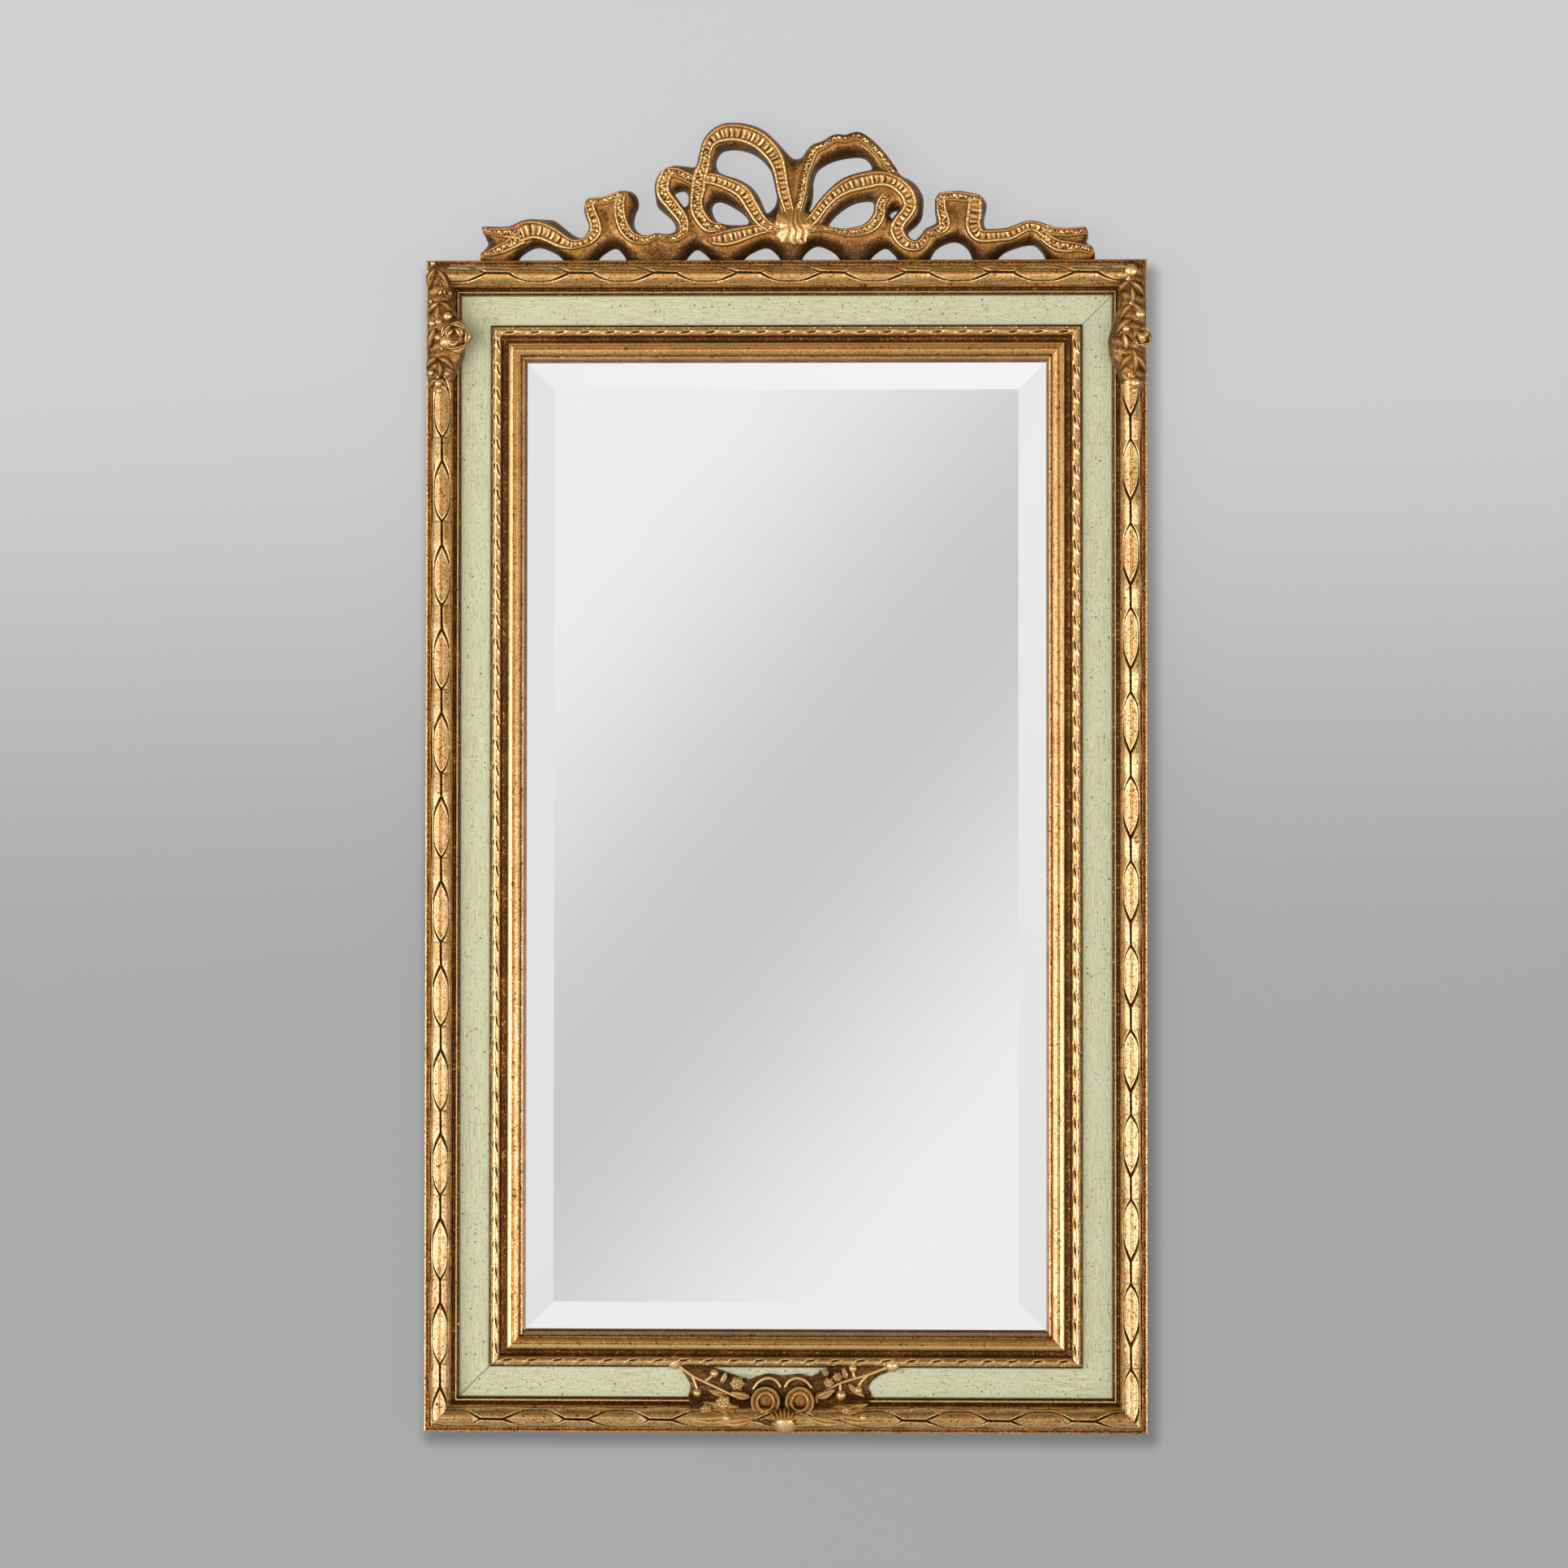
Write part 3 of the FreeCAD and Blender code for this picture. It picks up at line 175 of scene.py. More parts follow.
# Middle lines of the ribbons, with their half widths
RIBBONS_PX = {
    "left_tail_upper": [(597, 284, 2.5), (612, 287, 4.5), (626, 287.5, 6), (644, 287, 9)],
    "left_tail_lower": [(597, 315, 2.5), (608, 312, 4), (620, 307, 6), (632, 301, 7), (646, 292, 9)],
    "left_wave": [(640, 289, 11), (650, 285, 11.5), (660, 283.5, 11), (672, 286, 10.5), (683, 291, 10),
                  (694, 297, 9), (705, 301.5, 6.5), (716, 301.5, 5), (728, 296, 6), (736, 286, 7),
                  (736, 275, 6.5), (732, 265, 6), (728, 252, 5)],
    "left_fold": [(727, 250, 4.5), (746, 248.5, 4.6), (761, 243.5, 4.6), (770, 240, 4.6)],
    "left_strand": [(768, 240, 5.5), (766, 250, 6), (766, 261, 6.5), (768.6, 274, 6.6), (774, 285.5, 6.6),
                    (782, 293.5, 6), (792, 297, 5.3), (802, 296, 4.6), (811, 291.5, 3.5)],
    "left_join": [(812, 291.5, 3), (823, 295, 4), (834, 295, 4.2), (846, 289, 4.5)],
    "small_loop_side": [(824, 214, 6), (819.5, 226, 7.5), (820.5, 240, 8), (830, 253, 7.7), (840, 265.5, 7),
                        (845, 275, 6), (845, 288, 5)],
    "small_loop_top": [(823, 214, 5.5), (836, 214.5, 5.6), (846, 219, 5.6), (858, 225, 5.6)],
    "big_loop_foot": [(872, 189, 6), (870, 203, 6.5), (865, 217, 8), (863, 231, 8.5), (860.5, 247, 7.5),
                      (862, 261, 8), (869, 273, 8), (877, 280, 7.5), (892, 281.5, 4)],
    "low_tail": [(876, 296, 5), (892, 295, 9), (907, 292, 9.5), (922, 288, 8), (938, 284, 6.5), (958, 281, 5)],
    "big_loop_inner": [(868, 221, 6), (882, 222.5, 7), (901, 229, 7.5), (918, 239, 8.5), (929, 256, 8),
                       (941, 274, 7), (960, 287, 5)],
    "big_loop": [(872, 190, 6), (875, 180, 6.5), (882, 172, 8), (893, 166.5, 10), (905, 165, 10.3),
                 (919.4, 167, 10.5), (934.7, 173.2, 10.5), (947, 183, 10.3), (957.5, 196, 9.5),
                 (963, 210.5, 8), (966, 226.7, 7.3), (969, 241, 7), (975, 262, 6)],
    "wavy_loop": [(984, 262, 5.5), (990, 240, 5), (993.3, 219.5, 5), (998.5, 202, 5.5), (1005, 188, 5.5),
                  (1019, 180, 4.5), (1031, 173, 4.5), (1044, 173.5, 4.5), (1058, 170, 4.5), (1069, 176, 5),
                  (1081, 187, 5), (1092, 200, 5), (1103, 216, 5)],
    "right_loop": [(990, 283, 6), (1004, 271, 6.3), (1017, 254, 6.5), (1030, 241, 7.3), (1047, 230.5, 9),
                   (1067, 225, 9.8), (1086, 222, 9), (1101, 225, 8.3), (1113, 233, 8.4), (1121, 243, 8.4),
                   (1123, 254, 7.8), (1118.4, 264.3, 7.5), (1111, 273.5, 7.2), (1107, 281.5, 8),
                   (1108.6, 289.5, 8), (1114, 298, 7.5), (1122, 303.5, 6.7), (1132, 304.5, 5.8),
                   (1139, 300, 5.2), (1143, 292, 3.8)],
    "right_low": [(998, 284, 5), (1012, 283.2, 3.6), (1029, 285.5, 3.6), (1046, 288.3, 4.6), (1063, 286.5, 5.7),
                  (1078, 278.6, 6.7), (1085.7, 266, 6.3), (1087.4, 253, 5.7), (1094, 243, 5)],
    "square_left": [(1142, 290, 3.5), (1156, 286.6, 5), (1164, 281, 6.5), (1165, 272, 6.8), (1162, 262, 6),
                    (1160.5, 246, 5)],
    "square_top": [(1157, 245.5, 5), (1173.8, 244, 5.5), (1187, 245, 5.5), (1207, 248.5, 5.5)],
    "right_wave": [(1203, 247, 8), (1202, 262.5, 9), (1200.5, 275.5, 9), (1203, 286, 8.6), (1211, 292.5, 7.8),
                   (1231.7, 292, 7), (1245.4, 290.3, 7), (1257, 285.1, 6.3), (1268.4, 280.5, 5.8),
                   (1280, 282.4, 6.3), (1292, 289, 8.2)],
    "right_tail_upper": [(1288, 284, 5), (1301, 287.4, 5), (1318, 288.5, 5), (1339.6, 286.3, 4.6)],
    "right_tail_lower": [(1286, 292, 6), (1294, 298.5, 6.5), (1304, 304, 7.3), (1316, 306, 6.8),
                         (1329, 307, 5), (1344, 310.4, 4.6)],
}
PLEATED_RIBBONS = ("left_wave", "big_loop", "big_loop_inner", "low_tail", "right_loop", "right_wave")

# Rim of a ribbon, from its outer side inwards: share of the rim's width, height against the ribbon's top, tone
RIM_PROFILE = [(-0.9, -5.5, 0.05), (-0.35, -1.6, 0.15), (0.0, -0.45, 0.45), (0.35, 0.0, 1.05), (0.7, -0.05, 1.0),
               (1.0, -0.4, 0.6), (1.3, -1.1, 0.2)]

# Ribbon's sunk middle against its top, the step from ribbon to ribbon, and how far an end falls and reaches out
RIBBON_FLOOR = -1.3
RIBBON_STAGGER = 0.03
RIBBON_END_FALL = 4.5
RIBBON_END_REACH = 0.2

# Knot: place, half width and half height
KNOT_PX = (980, 280, 22, 21)

# Corner drops in the photograph: pixels in from the frame's outer edge and down from its corner
DROP_SCALE = 0.5617

# Ground of a drop: pixels down from the corner, then its outer edge, inner edge and height in millimetres
DROP_GROUND = [
    (3, 3, 15, 28.5), (10, 1.5, 17, 30.2), (30, 0.8, 19, 30.6), (60, 0.6, 20, 30.6), (80, 0.6, 24, 30.8),
    (100, 0.6, 27, 30.9), (118, 0.6, 26, 30.8), (135, 0.4, 22, 30.4), (152, 1, 18.5, 30.1), (163, 3.5, 15, 29.4),
    (168, 6, 13, 26),
]
DROP_FOOT = 14.2
DROP_RIM = 18

# Leaves of a drop: base, tip, half width, and its buds: place, radius
LEFT_DROP_LEAVES = [
    ((14, 13), (3, 34), 5), ((14, 13), (30, 44), 5), ((11, 24), (4, 38), 3.5), ((18, 25), (27, 40), 3.5),
    ((18.5, 54), (4.5, 68), 5), ((18.5, 54), (34, 67), 5), ((18, 57), (17, 81), 4.5), ((14, 86), (6, 110), 5),
    ((16, 122), (2, 135), 5), ((16, 122), (37, 138), 5.5), ((16.5, 126), (18, 149), 4.5),
    ((16, 148), (7, 159), 3.5), ((17, 148), (28, 159), 3.5),
]
LEFT_DROP_BUDS = [(10, 6, 3.5), (31, 43, 2.5), (7.6, 53, 2.5), (17, 78, 4.5), (28, 71, 5.5), (9, 80, 4),
                  (16, 97, 4.5), (8, 141, 4), (27, 142, 4), (17, 154, 5), (18, 163, 4)]
RIGHT_DROP_LEAVES = [
    ((23, 30), (36, 43), 6), ((23, 30), (5, 48), 6), ((21, 36), (21, 60), 5),
    ((21, 76), (39, 95), 6), ((21, 56), (7, 74), 5), ((20, 58), (33, 76), 5),
    ((19, 120), (34, 139), 6), ((19, 120), (3, 141), 5.5), ((19, 112), (18, 146), 5), ((31, 94), (27, 116), 6),
]
RIGHT_DROP_BUDS = [(21, 16, 8), (10, 70, 6), (20, 57, 4), (16, 154, 6), (17, 164, 4), (27, 88, 5)]

# Rose of a drop: place, radius and the bud's shift in pixels, then its seat and rise in millimetres
LEFT_ROSE = ((37, 97), 17, (-9, 6), 26.5, 10.0)
RIGHT_ROSE = ((7.2, 99), 10.8, (1, 0), 27.0, 8.5)
DROPS = {
    "left": (LEFT_DROP_LEAVES, LEFT_DROP_BUDS, LEFT_ROSE),
    "right": (RIGHT_DROP_LEAVES, RIGHT_DROP_BUDS, RIGHT_ROSE),
}

# Seats of a drop's leaves, whose tips rise in the middle band and fall beside it, and of its buds
MIDDLE_BAND_PX = (10, 30)
MIDDLE_LEAF_SEATS = (30.2, 30.8)
SIDE_LEAF_SEATS = (30.8, 28.8)
DROP_LEAF_THICKNESS = 2.0
DROP_LEAF_BEND = 0.1
DROP_BUD_SEAT = 30.2
DROP_BUD_RISE = 2.6

# Petals of a rose: direction, reach and half length, as shares of its radius, and how high the two rounds stand
OUTER_PETALS = [(0.1, 0.98, 0.62), (1.25, 0.98, 0.6), (2.5, 0.95, 0.6), (3.7, 0.95, 0.6), (5.0, 0.97, 0.62)]
INNER_PETALS = [(0.7, 0.62, 0.4), (2.6, 0.6, 0.4), (4.6, 0.62, 0.4)]
PETAL_ROUNDS = [(OUTER_PETALS, 0.32), (INNER_PETALS, 0.62)]

# Lower rail's mouldings: distances from the outer edge and heights above the back, smoothed over the hollow
RAIL_DISTANCES = [0, 4.6, 7, 10.1, 13, 16, 21, 24.6, 26]
RAIL_HEIGHTS = [22, 22.5, 27.5, 29.2, 28, 23, 19, 16, 14.6]

# Spray: millimetres for a pixel of the photograph, across and up, and the pixels it is measured from
SPRAY_SCALE = (163 / 289, 53.5 / 95)
SPRAY_MIDDLE_PX = 968.5
SPRAY_FOOT_PX = 1766
SPRAY_GROUND_PX = [
    (838, 1684), (852, 1686), (876, 1687), (892, 1692), (905, 1697), (920, 1703), (930, 1700), (946, 1695),
    (966, 1697), (986, 1695), (1000, 1698), (1012, 1694), (1020, 1688), (1040, 1686), (1070, 1686),
    (1092, 1682), (1098, 1690), (1080, 1699), (1071, 1710), (1074, 1722), (1066, 1734), (1030, 1748),
    (990, 1754), (966, 1762), (942, 1754), (905, 1750), (860, 1743), (850, 1726), (852, 1710), (846, 1698),
]
BOW_RINGS_PX = [(944.5, 1727), (986.5, 1727)]
BOW_RING_RADII_PX = (8.6, 18.0)
SPRAY_FOOT = 13.8

# Stems and crinkled ribbon ends: places and heights
SPRAY_TUBES_PX = [
    [(836, 1684, 3), (854, 1697, 3), (869, 1704.5, 3.4), (890, 1714, 5), (912, 1724, 8)],
    [(1097, 1685, 3), (1084, 1690, 3), (1071, 1695, 3), (1036, 1705.5, 4), (1016, 1716, 7)],
    [(854, 1697, 2.6), (858, 1707, 2.6), (860.5, 1714, 2.6)],
    [(869, 1704.5, 2.6), (877, 1699, 2.6), (882, 1695, 2.6)],
    [(1071, 1695, 2.6), (1062, 1704, 2.6), (1058, 1711, 2.6)],
    [(1054, 1700, 2.6), (1052, 1694, 2.6), (1051, 1689, 2.6)],
    [(1036, 1705.5, 3), (1036, 1713, 4), (1037, 1719, 4)],
    [(1016, 1716, 5), (1007, 1721, 6), (1009, 1731, 8), (1019, 1731, 8)],
    [(929, 1713, 7), (936, 1704, 7.5), (947, 1699, 8), (957, 1702, 8), (963, 1710, 8)],
    [(968, 1710, 8), (974, 1702, 8), (984, 1699, 8), (994, 1703, 7.5), (1001, 1711, 7)],
]
STEM_SEAT = 14.8
STEM_RADIUS = 1.05
STEM_LIFT = 0.6

# Flowers and buds: place, radius, height
SPRAY_FLOWERS_PX = [(910, 1705.5, 9.5, 5), (893, 1728.7, 10, 6), (1022, 1704, 7, 5), (1032.6, 1697, 6.5, 4.5),
                    (1018, 1692, 5, 4), (872, 1737, 8, 10), (1044, 1738, 8, 11)]
SPRAY_BUDS_PX = [(832.6, 1681, 8.4, 2), (1100, 1683.4, 8.5, 2), (860.5, 1718, 5.5, 2), (881.5, 1694, 5.5, 2),
                 (1058, 1714, 5.5, 2), (1051.5, 1687.5, 5.5, 2), (1037, 1720, 6.5, 3), (897, 1745, 5, 14),
                 (1064, 1744, 5, 14)]
FLOWER_SEAT = 15.0
FLOWER_LIFT = 0.9
FLOWER_RISE = 3.0
FLOWER_PETALS = 6
SPRAY_BUD_SEAT = 14.6
SPRAY_BUD_RISE = 3.4

# Leaves: base, tip, half width, height
SPRAY_LEAVES_PX = [
    ((905, 1744), (852, 1746), 6, 14.5), ((930, 1746), (886, 1750), 6, 15), ((918, 1736), (868, 1728), 6, 7),
    ((998, 1744), (1040, 1750), 6, 15), ((1030, 1742), (1082, 1747), 6, 14.5), ((1022, 1736), (1070, 1730), 6, 7),
    ((926, 1722), (902, 1716), 5, 6), ((1006, 1722), (1030, 1712), 5, 6), ((898, 1720), (874, 1714), 4, 3.5),
    ((1046, 1706), (1066, 1722), 4, 3), ((1044, 1700), (1040, 1686), 4, 2.5), ((890, 1706), (896, 1692), 4, 2.5),
]
SPRAY_LEAF_SEATS = (14.6, 14.4)
SPRAY_LEAF_THICKNESS = 1.3
SPRAY_LEAF_BEND = 0.06

# Loop of the small bow, from its inner edge to its outer one: share of its width, height against its top, tone
LOOP_PROFILE = [(0, -9, 0), (0, -1.2, 0.2), (0.06, -0.2, 0.9), (0.15, 0, 1.1), (0.28, -1.2, 0.5), (0.5, -1.8, 0.1),
                (0.72, -1.2, 0.5), (0.85, 0, 1.1), (0.94, -0.4, 0.9), (1, -2.0, 0.2), (1, -9, 0)]
LOOP_TOP = 26.2
LOOP_TILT = 2.8
LOOP_EYE_SEAT = 21.0

# Pouch under the small bow: place, half width and depth, and the tips of the folds above it
POUCH_PX = (969, 1748, 17, 17.5)
POUCH_FOOT = 21.0
POUCH_TOP = 31.0
POUCH_FALL = 5.0
FOLDS_PX = [(950, 1737), (956, 1734), (962, 1732), (968, 1731.5), (974, 1732), (980, 1734), (985, 1738)]
FOLD_SEATS = (28.6, 27.2)
FOLD_HALF = 1.9
FOLD_THICKNESS = 2.0

# Frieze: distances in metres from the frame's edge between which its paint is darkened along the mouldings, partly
# by wear and partly as painted shade where the mouldings meet it
FRIEZE_OUTER_WEAR_AND_SHADE = (0.0244, 0.0236)
FRIEZE_INNER_WEAR_AND_SHADE = (0.0434, 0.0446)

# Heights above the back at which paint gives way to stained wood, and silver to the plate's backing paint
PAINT_HEIGHTS = (13.0, 13.8)
SILVER_HEIGHTS = (3.7, 3.5)

# Finishes that only show with the back open, and zinc
ZINC = (0.5, 0.5, 0.5)
PAPER = (0.5, 0.4, 0.27)
CORK = (0.42, 0.26, 0.13)
BARE_WOOD = (0.5, 0.33, 0.18)

# Stage, in metres and degrees
WALL_Y = 0.001
WALL_HALF_WIDTH = 6
WALL_TOP = 4
FLOOR_Z = -1.5
FLOOR_HALF_WIDTH = 4
FLOOR_HALF_DEPTH = 2.4
LAMP_SIZE = 2.2
LAMP_AIM = (0, 0, -0.35)
KEY_PLACE = (-1.6, -2.1, -0.55)
FILL_PLACE = (1.7, -2.2, -0.7)
CAMERA_PLACE = (0.04449, -2.43921, -0.38643)
CAMERA_TURN = (90 + 0.803, -0.052, 1.083)
SENSOR_WIDTH = 36.0

# Wall: heights in metres between which it grows paler, and the share of its colour that doesn't hang on the lamps
WALL_FADE = (-0.513, -0.018)
WALL_GLOW = 0.84

# Frame's soft shadow on the wall: shift to the right and down and softness in millimetres, strength and colour
SHADOW_SHIFT = (3.0, 6.5)
SHADOW_SOFTNESS = 13.0
SHADOW_STRENGTH = 0.55
SHADOW_COLOUR = (0.06, 0.06, 0.065, 1.0)

# Room's even light from below and from above, and the warm tint of what the gilding reflects
LIGHT_BELOW = (0.66, 0.66, 0.66, 1.0)
LIGHT_ABOVE = (0.27, 0.27, 0.27, 1.0)
ROOM_TINT = (1.0, 0.6, 0.25, 1.0)


class MirrorSizes(PropertyGroup):
    """Sizes of the carving."""

    leaf_pitch: FloatProperty(
        name="Leaf pitch", description="Spacing of the laurel leaves along the torus",
        default=0.0582, unit="LENGTH")
    leaf_relief: FloatProperty(
        name="Leaf relief", description="How far a leaf's tip stands above the leaf that it lies on",
        default=0.0011, unit="LENGTH")
    bead_pitch: FloatProperty(
        name="Ribbon bead pitch", description="Spacing of the turns of the ribbon round the sight bead",
        default=0.0175, unit="LENGTH")
    rim_width: FloatProperty(
        name="Ribbon rim", description="Width of the raised rim along the bow's ribbons",
        default=0.0019, unit="LENGTH")
    pleat_pitch: FloatProperty(
        name="Pleat pitch", description="Spacing of the pleats across the bow's ribbons",
        default=0.0036, unit="LENGTH")
    pleat_depth: FloatProperty(
        name="Pleat depth", description="Depth of the pleats across the bow's ribbons",
        default=0.0006, unit="LENGTH")


class MirrorFinishes(PropertyGroup):
    """Colours of the finishes."""

    gold_bright: FloatVectorProperty(
        name="Rubbed gold", description="Gilding where it stands proud and is burnished",
        default=(0.86, 0.62, 0.22), subtype="COLOR")
    gold_middle: FloatVectorProperty(
        name="Toned gold", description="Gilding on the open surfaces",
        default=(0.5, 0.235, 0.05), subtype="COLOR")
    gold_dark: FloatVectorProperty(
        name="Recess", description="Toning left in the recesses of the gilding",
        default=(0.06, 0.021, 0.005), subtype="COLOR")
    paint: FloatVectorProperty(
        name="Frieze paint", description="Distemper green of the frieze",
        default=(0.62, 0.61, 0.4), subtype="COLOR")
    # Also used for the painted shade along the frieze's edges next to the mouldings
    paint_worn_and_shade: FloatVectorProperty(
        name="Worn paint and painted shade", description="Brown that shows in the scratches and edges of the frieze",
        default=(0.16, 0.13, 0.07), subtype="COLOR")
    wood: FloatVectorProperty(
        name="Stained wood", description="Edges and back of the rails",
        default=(0.2, 0.1, 0.045), subtype="COLOR")
    board: FloatVectorProperty(
        name="Board", description="Hardboard of the back",
        default=(0.3, 0.19, 0.1), subtype="COLOR")
    brass: FloatVectorProperty(
        name="Brass", description="Turn buttons and hanger",
        default=(0.72, 0.53, 0.22), subtype="COLOR")
    felt: FloatVectorProperty(
        name="Felt", description="Wall pads",
        default=(0.09, 0.08, 0.065), subtype="COLOR")


class MirrorStage(PropertyGroup):
    """Wall, floor, light and camera."""

    lens: FloatProperty(
        name="Lens", description="Focal length of the camera in millimetres",
        default=80.0)
    wall: FloatVectorProperty(
        name="Wall", description="Backdrop's colour at the crest's height",
        default=(0.617, 0.617, 0.617), subtype="COLOR")
    wall_low: FloatVectorProperty(
        name="Wall below", description="Backdrop's colour under the frame",
        default=(0.397, 0.397, 0.397), subtype="COLOR")
    floor: FloatVectorProperty(
        name="Floor", description="Colour of the floor",
        default=(0.75, 0.74, 0.72), subtype="COLOR")
    key: FloatProperty(
        name="Key lamp", description="Power of the lamp at the left",
        default=55.0, unit="POWER")
    fill: FloatProperty(
        name="Fill lamp", description="Power of the lamp at the right",
        default=20.0, unit="POWER")


class Shell:
    """Points, tones and faces of one piece while it is carved: x, height above the back, z."""

    def __init__(self):
        self.points = []
        self.tones = []
        self.faces = []
        self.count = 0

    def take(self, points, tones):
        """Keep a block of points and return the number of its first."""
        first = self.count
        points = np.asarray(points, float).reshape(-1, 3)
        self.points.append(points)
        self.tones.append(np.broadcast_to(np.asarray(tones, float).reshape(-1), (len(points),)))
        self.count += len(points)
        return first

    def loft(self, rings, tones, caps=True, wrap=False):
        """Skin over a row of closed rings, with both ends closed or joined."""
        rows, columns = rings.shape[:2]
        first = self.take(rings, tones)
        i, j = np.meshgrid(np.arange(rows if wrap else rows - 1), np.arange(columns), indexing="ij")
        k = (j + 1) % columns
        n = (i + 1) % rows
        quads = np.stack([i * columns + j, i * columns + k, n * columns + k, n * columns + j], -1)
        self.faces.extend((quads.reshape(-1, 4) + first).tolist())
        if caps:
            last = first + (rows - 1) * columns
            self.faces.append(list(range(first + columns - 1, first - 1, -1)))
            self.faces.append(list(range(last, last + columns)))


def side_point(side, along, across):
    """Place on the frame's face of a distance along a side, from its middle, and one in from its edge."""
    turn = math.radians(SIDE_TURNS[side])
    x = across - (SIDE if side in ("left", "right") else HALF_HEIGHT)
    z = -along
    place = np.cos(turn) * x + np.sin(turn) * z, np.cos(turn) * z - np.sin(turn) * x
    return place[0], place[1] + MIDDLE


def raw_mesh(name, shell, back, finish):
    """Mesh of a shell's points, tones and faces, whose heights are measured from the given back."""
    points = np.concatenate(shell.points)
    points = np.stack([points[:, 0], back - points[:, 1], points[:, 2]], -1) * MM
    mesh = bpy.data.meshes.new(name)
    mesh.from_pydata(points.tolist(), [], shell.faces)
    tone = mesh.attributes.new("tone", "FLOAT", "POINT")
    tone.data.foreach_set("value", np.clip(np.concatenate(shell.tones), 0, 1).astype(np.float32))
    mesh.materials.append(finish)
    return mesh


def shell_mesh(name, shell, finish, sharp):
    """Mesh of a closed shell in its place on the frame, with its faces turned outwards."""
    mesh = raw_mesh(name, shell, BACK, finish)
    form = bmesh.new()
    form.from_mesh(mesh)
    bmesh.ops.recalc_face_normals(form, faces=form.faces)
    form.to_mesh(mesh)
    form.free()
    finish_shading(mesh, sharp)
    return mesh


def finish_shading(mesh, sharp):
    """Smooth shading, with edges kept where the angle is larger."""
    mesh.shade_smooth()
    mesh.set_sharp_from_angle(angle=math.radians(sharp))


def add_piece(name, mesh, slot, *nodes):
    """Piece that is fixed to the frame, in place of the named solids."""
    piece = bpy.data.objects.new(name, mesh)
    bpy.context.scene.collection.objects.link(piece)
    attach(piece, "frame")
    if nodes:
        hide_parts(*nodes)


def put(tree, kind, values=None, **settings):
    """Node with its settings, its inputs set or linked."""
    made = tree.nodes.new(kind)
    for key, value in settings.items():
        setattr(made, key, value)
    for key, value in (values or {}).items():
        if isinstance(value, bpy.types.NodeSocket):
            tree.links.new(value, made.inputs[key])
        else:
            made.inputs[key].default_value = value
    return made


def maths(tree, operation, first, second=0.0, third=None, clamp=False):
    """Result of one arithmetic node."""
    values = {0: first, 1: second}
    if third is not None:
        values[2] = third
    return put(tree, "ShaderNodeMath", values, operation=operation, use_clamp=clamp).outputs[0]


def blend(tree, share, first, second, mode="MIX"):
    """Colour between two colours."""
    values = {0: share, 6: first, 7: second}
    return put(tree, "ShaderNodeMix", values, data_type="RGBA", blend_type=mode).outputs[2]


def ease(tree, value, low, high):
    """Share from 0 at the low value to 1 at the high one, smoothed."""
    values = {"Value": value, "From Min": low, "From Max": high}
    return put(tree, "ShaderNodeMapRange", values, interpolation_type="SMOOTHSTEP").outputs[0]


def noise(tree, place, scale, detail=3.0, rough=0.55):
    """Value of a noise at a place."""
    values = {"Vector": place, "Scale": scale, "Detail": detail, "Roughness": rough}
    return put(tree, "ShaderNodeTexNoise", values).outputs[0]


def stretch(tree, place, scales):
    """Place with its three axes scaled."""
    return put(tree, "ShaderNodeVectorMath", {0: place, 1: scales}, operation="MULTIPLY").outputs[0]


def colour(value):
    """Colour property as a socket's four numbers."""
    return (value[0], value[1], value[2], 1.0)


def scaled(tint, factor):
    """Colour made darker or lighter."""
    return tuple(value * factor for value in tint)


def give(finish, nodes):
    """Put a finish on solids that stay as they are."""
    for name in nodes:
        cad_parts[name].data.materials[0] = finish


def group_tree(name, inputs, outputs):
    """Shader node group with its sockets, and its two end nodes."""
    tree = bpy.data.node_groups.new(name, "ShaderNodeTree")
    for label, kind, default in inputs:
        made = tree.interface.new_socket(name=label, in_out="INPUT", socket_type=kind)
        if default is not None:
            made.default_value = default
    for label, kind in outputs:
        tree.interface.new_socket(name=label, in_out="OUTPUT", socket_type=kind)
    return tree, put(tree, "NodeGroupInput"), put(tree, "NodeGroupOutput")


def rub_group():
    """Rubbing and toning of gilding: a tone turned into how bright and how rough the gold is."""
    name = "rubbed gilding"
    if name in bpy.data.node_groups:
        return bpy.data.node_groups[name]
    number = "NodeSocketFloat"
    tree, start, end = group_tree(
        name, [("Place", "NodeSocketVector", None), ("Tone", number, 0.5), ("Speckle", number, 0.3)],
        [("Gold", number), ("Roughness", number), ("Height", number)])
    place = start.outputs["Place"]
    tone = start.outputs["Tone"]
    speckle = start.outputs["Speckle"]
    cloud = maths(tree, "SUBTRACT", noise(tree, place, 60.0, 4.0), 0.5)
    grit = maths(tree, "SUBTRACT", noise(tree, place, 900.0, 2.0, 0.6), 0.5)
    fleck = ease(tree, noise(tree, place, 640.0, 2.0), 0.56, 0.7)
    bare = ease(tree, noise(tree, place, 430.0, 3.0, 0.6), 0.44, 0.32)
    wear = maths(tree, "MULTIPLY_ADD", fleck, 0.6, maths(tree, "MULTIPLY", bare, -0.75))
    wear = maths(tree, "MULTIPLY", maths(tree, "MULTIPLY_ADD", grit, 1.6, wear), speckle)
    gold = maths(tree, "MULTIPLY_ADD", cloud, 0.4, tone)
    gold = maths(tree, "ADD", gold, wear, clamp=True)
    rough = maths(tree, "MULTIPLY_ADD", gold, -0.2, 0.42)
    rough = maths(tree, "MULTIPLY_ADD", wear, -0.15, rough, clamp=True)
    roughcast = maths(tree, "MULTIPLY", grit, speckle)
    height = maths(tree, "MULTIPLY_ADD", noise(tree, place, 180.0, 2.0), 0.4, roughcast)
    tree.links.new(gold, end.inputs["Gold"])
    tree.links.new(rough, end.inputs["Roughness"])
    tree.links.new(height, end.inputs["Height"])
    return tree


